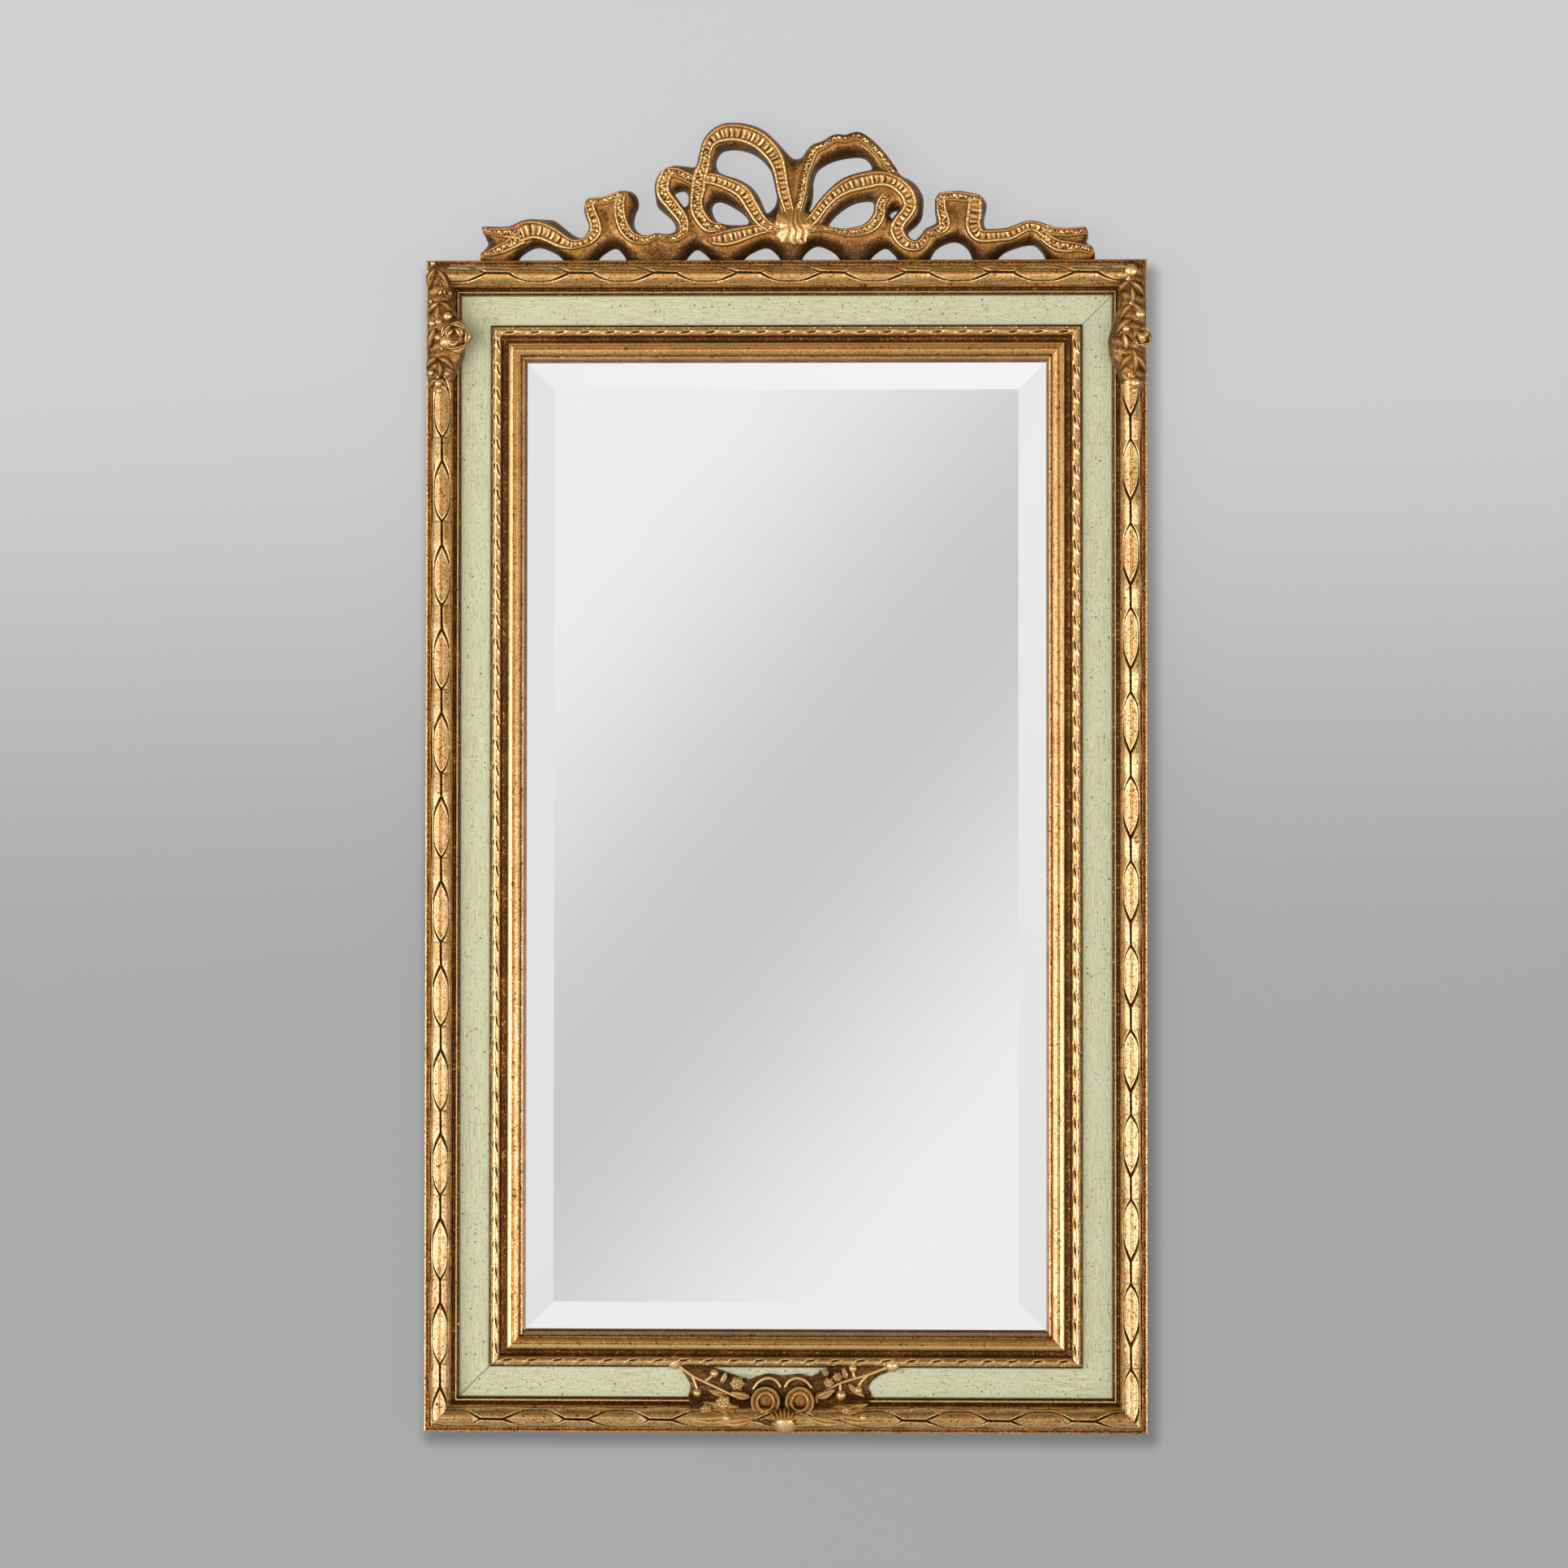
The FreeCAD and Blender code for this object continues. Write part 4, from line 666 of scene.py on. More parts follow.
def new_finish(name):
    """Material with an empty shader, and its tree, shader and object coordinates."""
    finish = bpy.data.materials.new(name)
    finish.use_nodes = True
    tree = finish.node_tree
    shader = tree.nodes["Principled BSDF"]
    place = put(tree, "ShaderNodeTexCoord").outputs["Object"]
    return finish, tree, shader, place


def bump(tree, shader, height, distance):
    """Relief of a height on a shader."""
    values = {"Height": height, "Distance": distance, "Strength": 1.0}
    tree.links.new(put(tree, "ShaderNodeBump", values).outputs[0], shader.inputs["Normal"])


def gilding(colours, name):
    """Toned gilding: dark in the recesses, bright and burnished where it is rubbed, and brighter still where the
    tone carries painted light.
    """
    if name in bpy.data.materials:
        return bpy.data.materials[name]
    speckle, unevenness, metal = GILDINGS[name]
    finish, tree, shader, place = new_finish(name)
    tone = put(tree, "ShaderNodeAttribute", attribute_name="tone").outputs["Fac"]
    values = {"Place": place, "Tone": tone, "Speckle": speckle}
    rub = put(tree, "ShaderNodeGroup", values, node_tree=rub_group()).outputs
    gold = rub["Gold"]
    toned = blend(tree, ease(tree, gold, 0.0, 0.45), colour(colours.gold_dark), colour(colours.gold_middle))
    rubbed = blend(tree, ease(tree, gold, 0.42, 1.0), toned, colour(colours.gold_bright))
    burnish = maths(tree, "MULTIPLY", ease(tree, gold, 0.3, 0.8), 0.75)
    tree.links.new(rubbed, shader.inputs["Base Color"])
    tree.links.new(rub["Roughness"], shader.inputs["Roughness"])
    tree.links.new(burnish, shader.inputs["Coat Weight"])
    shader.inputs["Metallic"].default_value = metal
    shader.inputs["Coat IOR"].default_value = 2.7
    shader.inputs["Coat Roughness"].default_value = 0.25
    bump(tree, shader, rub["Height"], unevenness)
    return finish


def repeat_tree():
    """Geometry tree that repeats its own geometry along a line."""
    name = "repeat along a side"
    if name in bpy.data.node_groups:
        return bpy.data.node_groups[name]
    tree = bpy.data.node_groups.new(name, "GeometryNodeTree")
    sockets = [("Geometry", "NodeSocketGeometry"), ("Count", "NodeSocketInt"), ("Start", "NodeSocketVector"),
               ("Step", "NodeSocketVector"), ("Turn", "NodeSocketVector"), ("Join", "NodeSocketFloat"),
               ("Finish", "NodeSocketMaterial")]
    for label, kind in sockets:
        tree.interface.new_socket(name=label, in_out="INPUT", socket_type=kind)
    tree.interface.new_socket(name="Geometry", in_out="OUTPUT", socket_type="NodeSocketGeometry")
    start = put(tree, "NodeGroupInput")
    line = put(tree, "GeometryNodeMeshLine", mode="OFFSET", count_mode="TOTAL")
    tree.links.new(start.outputs["Count"], line.inputs["Count"])
    tree.links.new(start.outputs["Start"], line.inputs["Start Location"])
    tree.links.new(start.outputs["Step"], line.inputs["Offset"])
    turn = put(tree, "FunctionNodeEulerToRotation", {0: start.outputs["Turn"]})
    spread = put(tree, "GeometryNodeInstanceOnPoints", {
        "Points": line.outputs[0], "Instance": start.outputs["Geometry"], "Rotation": turn.outputs[0]})
    real = put(tree, "GeometryNodeRealizeInstances", {0: spread.outputs[0]})
    joined = put(tree, "GeometryNodeMergeByDistance", {
        "Geometry": real.outputs[0], "Distance": start.outputs["Join"]})
    made = put(tree, "GeometryNodeSetMaterial", {
        "Geometry": joined.outputs[0], "Material": start.outputs["Finish"]})
    end = put(tree, "NodeGroupOutput")
    tree.links.new(made.outputs[0], end.inputs[0])
    return tree


def repeat_along(mesh, side, seat, pitch, first, finish):
    """Mesh of a carved length repeated along a side and cut off at both mitres."""
    along = SIDE_HALVES[side] + pitch
    count = int(math.ceil(2 * along / pitch)) + 1
    begin = first - pitch * math.ceil((first + along) / pitch)
    x, z = side_point(side, begin, seat)
    x_next, z_next = side_point(side, begin + pitch, seat)
    maker = bpy.data.objects.new("length", mesh)
    bpy.context.scene.collection.objects.link(maker)
    modifier = maker.modifiers.new("repeat", "NODES")
    modifier.node_group = repeat_tree()
    values = {
        "Count": count, "Start": (x * MM, BACK * MM, z * MM),
        "Step": ((x_next - x) * MM, 0.0, (z_next - z) * MM),
        "Turn": (0.0, math.radians(SIDE_TURNS[side]), 0.0), "Join": LENGTH_JOIN * MM, "Finish": finish}
    for item in modifier.node_group.interface.items_tree:
        if item.in_out == "INPUT" and item.name in values:
            modifier[item.identifier] = values[item.name]
    graph = bpy.context.evaluated_depsgraph_get()
    made = bpy.data.meshes.new_from_object(maker.evaluated_get(graph))
    maker.modifiers.clear()
    bpy.data.objects.remove(maker)
    form = bmesh.new()
    form.from_mesh(made)
    for end in (-1, 1):
        corner = side_point(side, end * SIDE_HALVES[side], 0.0)
        inner = side_point(side, end * (SIDE_HALVES[side] - 1), 1.0)
        middle = side_point(side, 0.0, 0.0)
        line = Vector((inner[0] - corner[0], 0, inner[1] - corner[1]))
        normal = line.cross(Vector((0, 1, 0)))
        if normal.dot(Vector((middle[0] - corner[0], 0, middle[1] - corner[1]))) > 0:
            normal.negate()
        cut = bmesh.ops.bisect_plane(
            form, geom=form.verts[:] + form.edges[:] + form.faces[:], dist=1e-7, clear_outer=True,
            plane_co=Vector((corner[0], 0, corner[1])) * MM, plane_no=normal)
        edges = [item for item in cut["geom_cut"] if isinstance(item, bmesh.types.BMEdge)]
        bmesh.ops.triangle_fill(form, use_beauty=True, edges=edges)
    bmesh.ops.recalc_face_normals(form, faces=form.faces)
    form.to_mesh(made)
    form.free()
    return made


def carved_length(name, seat, radii, pitch, grid, relief, finish, shift=0.0):
    """One pitch of a half-round carved by a relief, closed underneath and open at its two ends."""
    rows, columns = grid
    even = np.linspace(-1, 1, columns)
    share = 0.75 * even + 0.25 * even ** 3
    angle = np.radians(88.0) * share
    along = np.linspace(0, pitch, rows)[:, None]
    share = share[None, :]
    height, tone = relief(along, share - shift)
    height = np.broadcast_to(height, (rows, columns))
    normal_x = np.sin(angle) / radii[0]
    normal_y = np.cos(angle) / radii[1]
    size = np.hypot(normal_x, normal_y)
    x = radii[0] * np.sin(angle) + height * normal_x / size
    y = seat[1] + radii[1] * np.cos(angle) + height * normal_y / size
    rings = np.empty((rows, columns + 2, 3))
    rings[:, 1:-1, 0] = x
    rings[:, 1:-1, 1] = y
    rings[:, 0, 0] = -radii[0] * 0.8
    rings[:, -1, 0] = radii[0] * 0.8
    rings[:, (0, -1), 1] = seat[1] - 0.6
    rings[:, :, 2] = -along
    tones = np.zeros((rows, columns + 2))
    tones[:, 1:-1] = tone
    shell = Shell()
    shell.loft(rings, tones, caps=False)
    return raw_mesh(name, shell, 0.0, finish)


def dip(distance, width):
    """Narrow rounded groove, 1 at its middle."""
    return np.exp(-(distance / width) ** 2)


def laurel_relief(pitch, rise):
    """Laurel: a long middle leaf whose tip lies on two side leaves, which part over the next middle leaf."""
    arc = 9.6
    stem_length, tip_length, widest = 16.0, 17.0, 0.58
    parting_length, taper, softness = 16.0, 0.043, 14
    groove_width, groove_depth = 0.5, 1.1
    lip_place, lip_width, lip_rise = 1.1, 0.4, 0.16
    rib_place, rib_width, rib_depth = 0.3, 0.3, 0.25
    leaf_length = pitch - stem_length

    def relief(along, share):
        behind = np.mod(-along, pitch) + 0 * share
        ahead = np.maximum(leaf_length - behind, 0)
        reach = widest * (1 - (1 - np.minimum(behind / tip_length, 1)) ** 2)
        reach = -np.log(np.exp(-softness * reach) + np.exp(-softness * taper * ahead)) / softness
        out = np.abs(share) + 0 * along
        edge = (reach - out) * arc
        on_middle = edge > 0
        middle_height = rise * (1 - 0.8 * behind / leaf_length) + 0.35 * (1 - (out / widest) ** 2)
        parted = np.clip(1 - ahead / parting_length, 0, 1)
        side_height = rise * (0.15 + 0.85 * parted * np.clip((pitch - behind) / stem_length + 0.2, 0, 1))
        side_height = side_height + 0.3 * (1 - ((out - 0.4) / 0.6) ** 2)
        height = np.where(on_middle, middle_height, side_height)
        groove = dip(edge, groove_width)
        lip = dip(np.abs(edge) - lip_place, lip_width)
        rib = np.where(on_middle, dip(share * arc + rib_place, rib_width), 0.0)
        rib = rib * np.clip((behind - 3.0) / 5.0, 0, 1)
        height = height - groove_depth * groove + lip_rise * lip - rib_depth * rib
        tone = np.where(on_middle, 0.62, 0.58) - 1.7 * groove + 0.36 * lip - 0.28 * rib
        foot = np.clip((out - 0.86) / 0.14, 0, 1)
        return height - 0.5 * foot, tone - 0.45 * foot

    return relief


def ribbon_relief(pitch):
    """Ribbon wound round a bead: each turn shows a long slanting opening and a short one beside it."""
    arc = 5.6
    rim_rise, eye_depth = 0.3, 0.8

    # Openings: place along and across, half length, half width, slant in degrees
    openings = [(0.0, 1.3, 3.7, 0.9, 14.0), (-3.0, -2.0, 2.7, 0.7, 6.0)]

    def relief(along, share):
        run = along + 0 * share
        # The bright stripe along the bead's outer flank is a painted highlight
        height, tone = 0 * run, 0.66 + 0.2 * dip(share * arc + 0.9, 0.6) + 0 * run
        for start, side, length, width, slant in openings:
            place = np.mod(run - start + pitch / 2, pitch) - pitch / 2
            across = share * arc - side
            turn = math.radians(slant)
            down = place * math.cos(turn) + across * math.sin(turn)
            over = across * math.cos(turn) - place * math.sin(turn)
            ring = np.sqrt((down / length) ** 2 + (over / width) ** 2)
            eye = np.clip((1.05 - ring) / 0.4, 0, 1)
            rim = dip(ring - 1.45, 0.3)
            height = height + rim_rise * rim - eye_depth * eye
            tone = tone + 0.2 * rim - 0.8 * eye
        foot = np.clip((np.abs(share) - 0.8) / 0.2, 0, 1)
        return height, tone - 0.35 * foot

    return relief


def sweep_side(shell, side, profile):
    """Straight moulding with both ends mitred."""
    across, height, tone = np.array(profile, float).T
    rings = []
    for share in np.linspace(-1, 1, 3):
        x, z = side_point(side, share * (SIDE_HALVES[side] - across), across)
        rings.append(np.stack([x, height, z], -1))
    shell.loft(np.array(rings), np.array([tone] * len(rings)))


def curve_through(points, step):
    """Smooth line through points, evenly spaced: columns past the first two are carried along."""
    points = np.asarray(points, float)
    padded = np.vstack([2 * points[0] - points[1], points, 2 * points[-1] - points[-2]])
    fine = []
    for index in range(1, len(padded) - 2):
        before, here, there, after = padded[index - 1:index + 3]
        t = np.linspace(0, 1, 24, endpoint=False)[:, None]
        square = 2 * before - 5 * here + 4 * there - after
        cube = 3 * here - before - 3 * there + after
        fine.append(0.5 * (2 * here + (there - before) * t + square * t ** 2 + cube * t ** 3))
    fine = np.vstack(fine + [points[-1:]])
    length = np.concatenate([[0], np.cumsum(np.hypot(*np.diff(fine[:, :2], axis=0).T))])
    count = max(4, int(round(length[-1] / step)) + 1)
    even = np.linspace(0, length[-1], count)
    return np.stack([np.interp(even, length, fine[:, column]) for column in range(fine.shape[1])], -1), even


def crest_place(points, foot):
    """Pixels of the crest in the photograph as places on the frame, half widths too."""
    points = np.asarray(points, float)
    place = np.empty_like(points)
    place[:, 0] = (points[:, 0] - CREST_MIDDLE_PX) * CREST_SCALE[0]
    place[:, 1] = TOP + (foot - points[:, 1]) * CREST_SCALE[1]
    if points.shape[1] > 2:
        place[:, 2] = points[:, 2] * CREST_SCALE[0]
    return place


def closed_curve(points, step):
    """Smooth closed line through points."""
    points = np.asarray(points, float)
    looped = np.vstack([points, points, points, points[:1]])
    line, even = curve_through(looped, step)
    third = even[-1] / 3
    keep = (even >= third) & (even < 2 * third)
    return line[keep]


def crest_outlines():
    """Outer line of the casting and the lines of its openings."""
    upper, _ = curve_through(crest_place(CREST_EDGE_PX, CREST_FOOT_PX), OUTLINE_STEP)
    foot = [(upper[-1][0], TOP)]
    for right, peak, top, left in CREST_ARCHES_PX:
        shoulder = top + 8
        line = crest_place([(right, CREST_FOOT_PX), (right - (right - peak) * 0.35, shoulder), (peak, top),
                            (left + (peak - left) * 0.35, shoulder), (left, CREST_FOOT_PX)], CREST_FOOT_PX)
        arch, _ = curve_through(line, OUTLINE_STEP)
        foot.extend(arch.tolist())
    foot.append((upper[0][0], TOP))
    outline = np.vstack([upper, np.maximum(np.array(foot), (-1e9, TOP))])
    outlines = [np.minimum(outline, (1e9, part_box("crest")[1][2] / MM))]
    for hole in CREST_HOLES_PX:
        outlines.append(closed_curve(crest_place(hole, CREST_FOOT_PX), OUTLINE_STEP))
    return outlines


def inside(outlines, x, z):
    """Which places of a grid lie within an odd number of outlines."""
    held = np.zeros((len(x), len(z)), bool)
    for outline in outlines:
        following = np.roll(outline, -1, axis=0)
        for row, level in enumerate(z):
            crosses = (outline[:, 1] > level) != (following[:, 1] > level)
            first, second = outline[crosses], following[crosses]
            run, rise = (second - first).T
            where = first[:, 0] + (level - first[:, 1]) * run / rise
            held[:, row] ^= (np.searchsorted(np.sort(where), x) % 2).astype(bool)
    return held


def crest_ribbons(step):
    """Middle lines of the ribbons with their half widths, and lengths along them."""
    return {name: curve_through(crest_place(points, RIBBON_FOOT_PX), step)
            for name, points in RIBBONS_PX.items()}


def crest_body(shell, grid):
    """Pierced casting under the ribbons: its walls rise from the outline to the ribbons' edges."""
    outlines = crest_outlines()
    edge = np.vstack(outlines)
    low, high = edge.min(axis=0) - grid, edge.max(axis=0) + grid
    x = np.arange(low[0], high[0] + grid, grid)
    z = np.arange(low[1], high[1] + grid, grid)
    cells = inside(outlines, x[:-1] + grid / 2, z[:-1] + grid / 2)
    around = np.zeros((len(x), len(z)), int)
    for a, b in ((0, 0), (0, 1), (1, 0), (1, 1)):
        around[a:a + cells.shape[0], b:b + cells.shape[1]] += cells
    tree = kdtree.KDTree(len(edge))
    for index, point in enumerate(edge):
        tree.insert((point[0], point[1], 0), index)
    tree.balance()
    spots = np.argwhere(around > 0)
    places = np.stack([x[spots[:, 0]], z[spots[:, 1]]], -1)
    rim = around[spots[:, 0], spots[:, 1]] < 4
    reach = np.empty(len(spots))
    for index, place in enumerate(places):
        nearest, _, reach[index] = tree.find((place[0], place[1], 0))
        if rim[index]:
            places[index] = nearest[:2]
    reach[rim] = 0
    beyond = np.full(len(spots), 1e9)
    for line, _ in crest_ribbons(2 * RIBBON_STEP).values():
        for start in range(0, len(places), 4000):
            block = slice(start, start + 4000)
            step = places[block, None] - line[None, :, :2]
            away = np.hypot(step[..., 0], step[..., 1])
            beyond[block] = np.minimum(beyond[block], (away - line[None, :, 2]).min(axis=1))
    beyond = np.maximum(beyond, 0)
    share = reach / np.maximum(reach + beyond, 0.01)
    share = np.where(beyond < 0.05, np.minimum(1, reach / 0.8), share)
    height = CREST_EDGE + (CREST_SHOULDER - CREST_EDGE) * np.sin(share * np.pi / 2) ** 0.85
    tone = 0.36 * np.clip(share * 1.1 - 0.12, 0, 1) ** 1.5
    number = np.full(around.shape, -1)
    number[spots[:, 0], spots[:, 1]] = np.arange(len(spots))
    front = shell.take(np.stack([places[:, 0], height, places[:, 1]], -1), tone)
    back = shell.take(np.stack([places[:, 0], np.full(len(places), CREST_BACK), places[:, 1]], -1), 0.1)
    i, j = np.nonzero(cells)
    quads = np.stack([number[i, j], number[i + 1, j], number[i + 1, j + 1], number[i, j + 1]], -1)
    shell.faces.extend((quads + front).tolist())
    shell.faces.extend((quads[:, ::-1] + back).tolist())
    padded = np.pad(cells, 1)
    walls = ((-1, 0, (0, 1), (0, 0)), (1, 0, (1, 0), (1, 1)), (0, -1, (0, 0), (1, 0)), (0, 1, (1, 1), (0, 1)))
    for a, b, first, second in walls:
        open_side = ~padded[i + 1 + a, j + 1 + b]
        one = number[i[open_side] + first[0], j[open_side] + first[1]]
        two = number[i[open_side] + second[0], j[open_side] + second[1]]
        shell.faces.extend(np.stack([one + front, one + back, two + back, two + front], -1).tolist())


def crest_ribbon(shell, name, line, length, top, sizes):
    """Ribbon with two raised rims and a sunk middle, pleated or pebbled."""
    direction = np.gradient(line[:, :2], axis=0)
    direction = direction / np.maximum(np.hypot(*direction.T)[:, None], 1e-6)
    half = line[:, 2:3]
    rim = np.minimum(sizes.rim_width / MM, half * 0.4)
    edge_shares, edge_drops, edge_tones = np.array(RIM_PROFILE).T
    inner = half - rim * edge_shares[-1]
    middle = np.linspace(-1, 1, 11)[1:-1][None, :]
    left = -(half - rim * edge_shares[None, :])
    offsets = np.hstack([left, inner * middle, -left[:, ::-1]])
    run = length[:, None]
    turn = 2 * np.pi * run / (sizes.pleat_pitch / MM)
    if name in PLEATED_RIBBONS:
        wave = np.sin(turn + 1.1 * np.sin(run * 0.31) + 0.9 * middle ** 2)
        wave = wave * (0.65 + 0.35 * np.sin(run * 0.83)) * (1 - 0.45 * middle ** 2)
    else:
        wave = np.sin(0.9 * turn + 1.6 * np.sin(run * 0.47))
        wave = wave * np.cos(2.2 * middle + 1.9 * np.sin(run * 0.71))
        wave = wave + 0.35 * np.sin(1.7 * turn + 3.0 * middle)
    wave = wave * np.minimum(1, half / 3.2)
    floor = RIBBON_FLOOR + sizes.pleat_depth / MM * wave + 0.3 * middle ** 2
    shape = left.shape
    left_drops, right_drops = np.broadcast_to(edge_drops, shape), np.broadcast_to(edge_drops[::-1], shape)
    left_tones, right_tones = np.broadcast_to(edge_tones, shape), np.broadcast_to(edge_tones[::-1], shape)
    if name == "wavy_loop":
        right_drops = np.minimum(right_drops, -1.5)
        right_tones = 0.25 * right_tones

    # Painted light from below: the rim on the ribbon's lower side is painted brighter than the one above it
    painted_light_below = 0.25 * direction[:, 0:1]
    left_tones = left_tones * (0.75 + painted_light_below)
    right_tones = right_tones * (0.75 - painted_light_below)
    nick = 0.12 * np.sin(run * 1.9) * np.sin(run * 0.53)
    drops = np.hstack([left_drops + nick, floor, right_drops - nick])
    tones = np.hstack([left_tones, 0.48 + 0.7 * wave, right_tones])
    normal = np.stack([-direction[:, 1], direction[:, 0]], -1)
    rings = np.empty(offsets.shape + (3,))
    rings[:, :, 0] = line[:, 0:1] + offsets * normal[:, 0:1]
    rings[:, :, 2] = line[:, 1:2] + offsets * normal[:, 1:2]
    rings[:, :, 1] = top + drops
    for end, inward in ((0, 1), (-1, -2)):
        outward = -RIBBON_END_REACH if end == 0 else RIBBON_END_REACH
        rings[end, :, 1] = top - RIBBON_END_FALL
        rings[end, :, 0] = rings[inward, :, 0] + outward * direction[end, 0]
    shell.loft(rings, tones)


def crest_knot(shell, top):
    """Gathered knot at the middle of the bow, whose folds fan out from above it."""
    centre = crest_place([KNOT_PX[:2]], RIBBON_FOOT_PX)[0]
    reach = KNOT_PX[2] * CREST_SCALE[0], KNOT_PX[3] * CREST_SCALE[1]
    turns = np.linspace(0, 2 * np.pi, 180, endpoint=False)
    shares = np.array([1.14, 1.06, 1.0, 0.93, 0.84, 0.74, 0.64, 0.54, 0.44, 0.34, 0.24, 0.14, 0.05])
    rings = np.empty((len(shares), len(turns), 3))
    tones = np.empty((len(shares), len(turns)))
    for row, share in enumerate(shares):
        ragged = 1 + 0.06 * np.sin(5 * turns + 0.7) + 0.04 * np.sin(11 * turns)
        x = np.cos(turns) * share * reach[0] * ragged
        z = np.sin(turns) * share * reach[1] * ragged
        fan = np.arctan2(x + 1.5, 1.9 * reach[1] - z)
        fold = np.sin(40 * fan + 1.2 * np.sin(0.5 * z) + 0.6) * (0.6 + 0.4 * np.sin(9 * fan))
        dome = 1 - 0.2 * share ** 2 - (0.5 if share > 1.1 else 0)
        rings[row, :, 0] = centre[0] + x
        rings[row, :, 2] = centre[1] + z
        depth = 0.35 * min(1, 3 * (shares[0] - share) + 0.2)
        rings[row, :, 1] = CREST_BACK + (top - CREST_BACK) * dome + depth * fold
        tones[row] = 0.5 + 0.35 * fold
    shell.loft(rings, tones)


def boss(shell, centre, seat, radius, height, tone=0.8):
    """Rounded bud that stands on a seat."""
    turns = np.linspace(0, 2 * np.pi, 28, endpoint=False)
    angles = np.radians([-40, 0, 20, 38, 54, 68, 80, 88])
    rings = np.empty((len(angles), len(turns), 3))
    tones = np.empty((len(angles), len(turns)))
    for row, angle in enumerate(angles):
        rings[row, :, 0] = centre[0] + radius * np.cos(angle) * np.cos(turns)
        rings[row, :, 2] = centre[1] + radius * np.cos(angle) * np.sin(turns)
        rings[row, :, 1] = seat + height * np.sin(angle)
        tones[row] = 0.15 + (tone - 0.15) * max(0.0, math.sin(angle)) ** 0.5
    shell.loft(rings, tones)


def leaf(shell, base, tip, half, seats, thick, bend=0.0, ridged=False):
    """Carved leaf from its base to its tip, with a groove or a bright ridge along its middle."""
    base, tip = np.array(base, float), np.array(tip, float)
    along = tip - base
    size = math.hypot(*along)
    normal = np.array([-along[1], along[0]]) / size
    rows, columns = 15, 11
    share = np.linspace(0, 1, rows)[:, None]
    across = np.linspace(-1, 1, columns)[None, :]
    width = half * np.maximum(0.06, np.sin(np.pi * share ** 0.8) ** 0.75)
    sway = bend * size * np.sin(np.pi * share)
    seat = seats[0] + (seats[1] - seats[0]) * share + 0.5 * thick * np.sin(np.pi * share)
    if ridged:
        top = seat + thick * (1 - np.abs(across)) + 0.3 * thick * dip(across, 0.25)
    else:
        top = seat + thick * (1 - 0.85 * across ** 2) - 0.45 * thick * dip(across, 0.17)
    rings = np.empty((rows, columns + 2, 3))
    for axis, column in ((0, 0), (1, 2)):
        middle = base[axis] + along[axis] * share + normal[axis] * sway
        rings[:, 1:-1, column] = middle + normal[axis] * width * across
        rings[:, 0, column] = rings[:, 1, column]
        rings[:, -1, column] = rings[:, -2, column]
    rings[:, 1:-1, 1] = top
    rings[:, (0, -1), 1] = seat - 2.0
    tones = np.full((rows, columns + 2), 0.1)
    if ridged:
        rub = np.sin(np.pi * np.clip(share * 0.9 + 0.1, 0, 1)) ** 0.5
        tones[:, 1:-1] = 0.12 + 0.8 * dip(across, 0.32) * rub
    else:
        tones[:, 1:-1] = 0.85 - 0.5 * across ** 4 - 0.5 * dip(across, 0.17) - 0.25 * (1 - share)
    shell.loft(rings, tones)


def flower(shell, centre, seat, radius, petals, rise, turn):
    """Open flower: petals round a raised middle."""
    half = radius * math.sin(math.pi / petals) * 0.85
    seats = seat + rise, seat + 0.4 * rise
    for number in range(petals):
        angle = turn + 2 * np.pi * number / petals
        out = np.array([math.cos(angle), math.sin(angle)])
        leaf(shell, centre + out * radius * 0.15, centre + out * radius, half, seats, rise * 0.45)
    boss(shell, centre, seat + 0.5 * rise, radius * 0.34, rise)


def rose(shell, centre, seat, radius, rise, bud):
    """Half-opened rose: wide outer petals folded round a bud."""
    boss(shell, centre, seat, radius * 0.9, rise * 0.62, 0.2)
    for petals, lift in PETAL_ROUNDS:
        level = seat + rise * lift
        for angle, reach, size in petals:
            out = np.array([math.cos(angle), math.sin(angle)])
            side = np.array([-out[1], out[0]]) * radius * size
            middle = centre + out * radius * (reach - 0.24)
            leaf(shell, middle - side, middle + side, radius * 0.3, (level, level), rise * 0.3, -0.18)
    boss(shell, bud, seat + rise * 0.45, radius * 0.5, rise * 0.5)


def tube(shell, line, seat, radius):
    """Rounded stem or ribbon edge along a line of places and heights above a seat."""
    line, _ = curve_through(line, 1.0)
    direction = np.gradient(line[:, :2], axis=0)
    direction = direction / np.maximum(np.hypot(*direction.T)[:, None], 1e-6)
    turns = np.linspace(0, 2 * np.pi, 12, endpoint=False)
    rings = np.empty((len(line), len(turns), 3))
    rings[:, :, 0] = line[:, 0:1] - direction[:, 1:2] * radius * np.cos(turns)
    rings[:, :, 2] = line[:, 1:2] + direction[:, 0:1] * radius * np.cos(turns)
    rings[:, :, 1] = seat + line[:, 2:3] + radius * np.sin(turns)
    rings[:, turns > np.pi, 1] = np.minimum(rings[:, turns > np.pi, 1], seat - 0.5)
    tones = np.broadcast_to(0.3 + 0.75 * np.maximum(0, np.sin(turns)), rings.shape[:2])
    shell.loft(rings, tones)


def drop_place(side, point):
    """Place on the frame of pixels in from the outer edge and down from the corner."""
    x = -SIDE + point[0] * DROP_SCALE
    return np.array([x if side == "left" else -x, TOP - point[1] * DROP_SCALE])


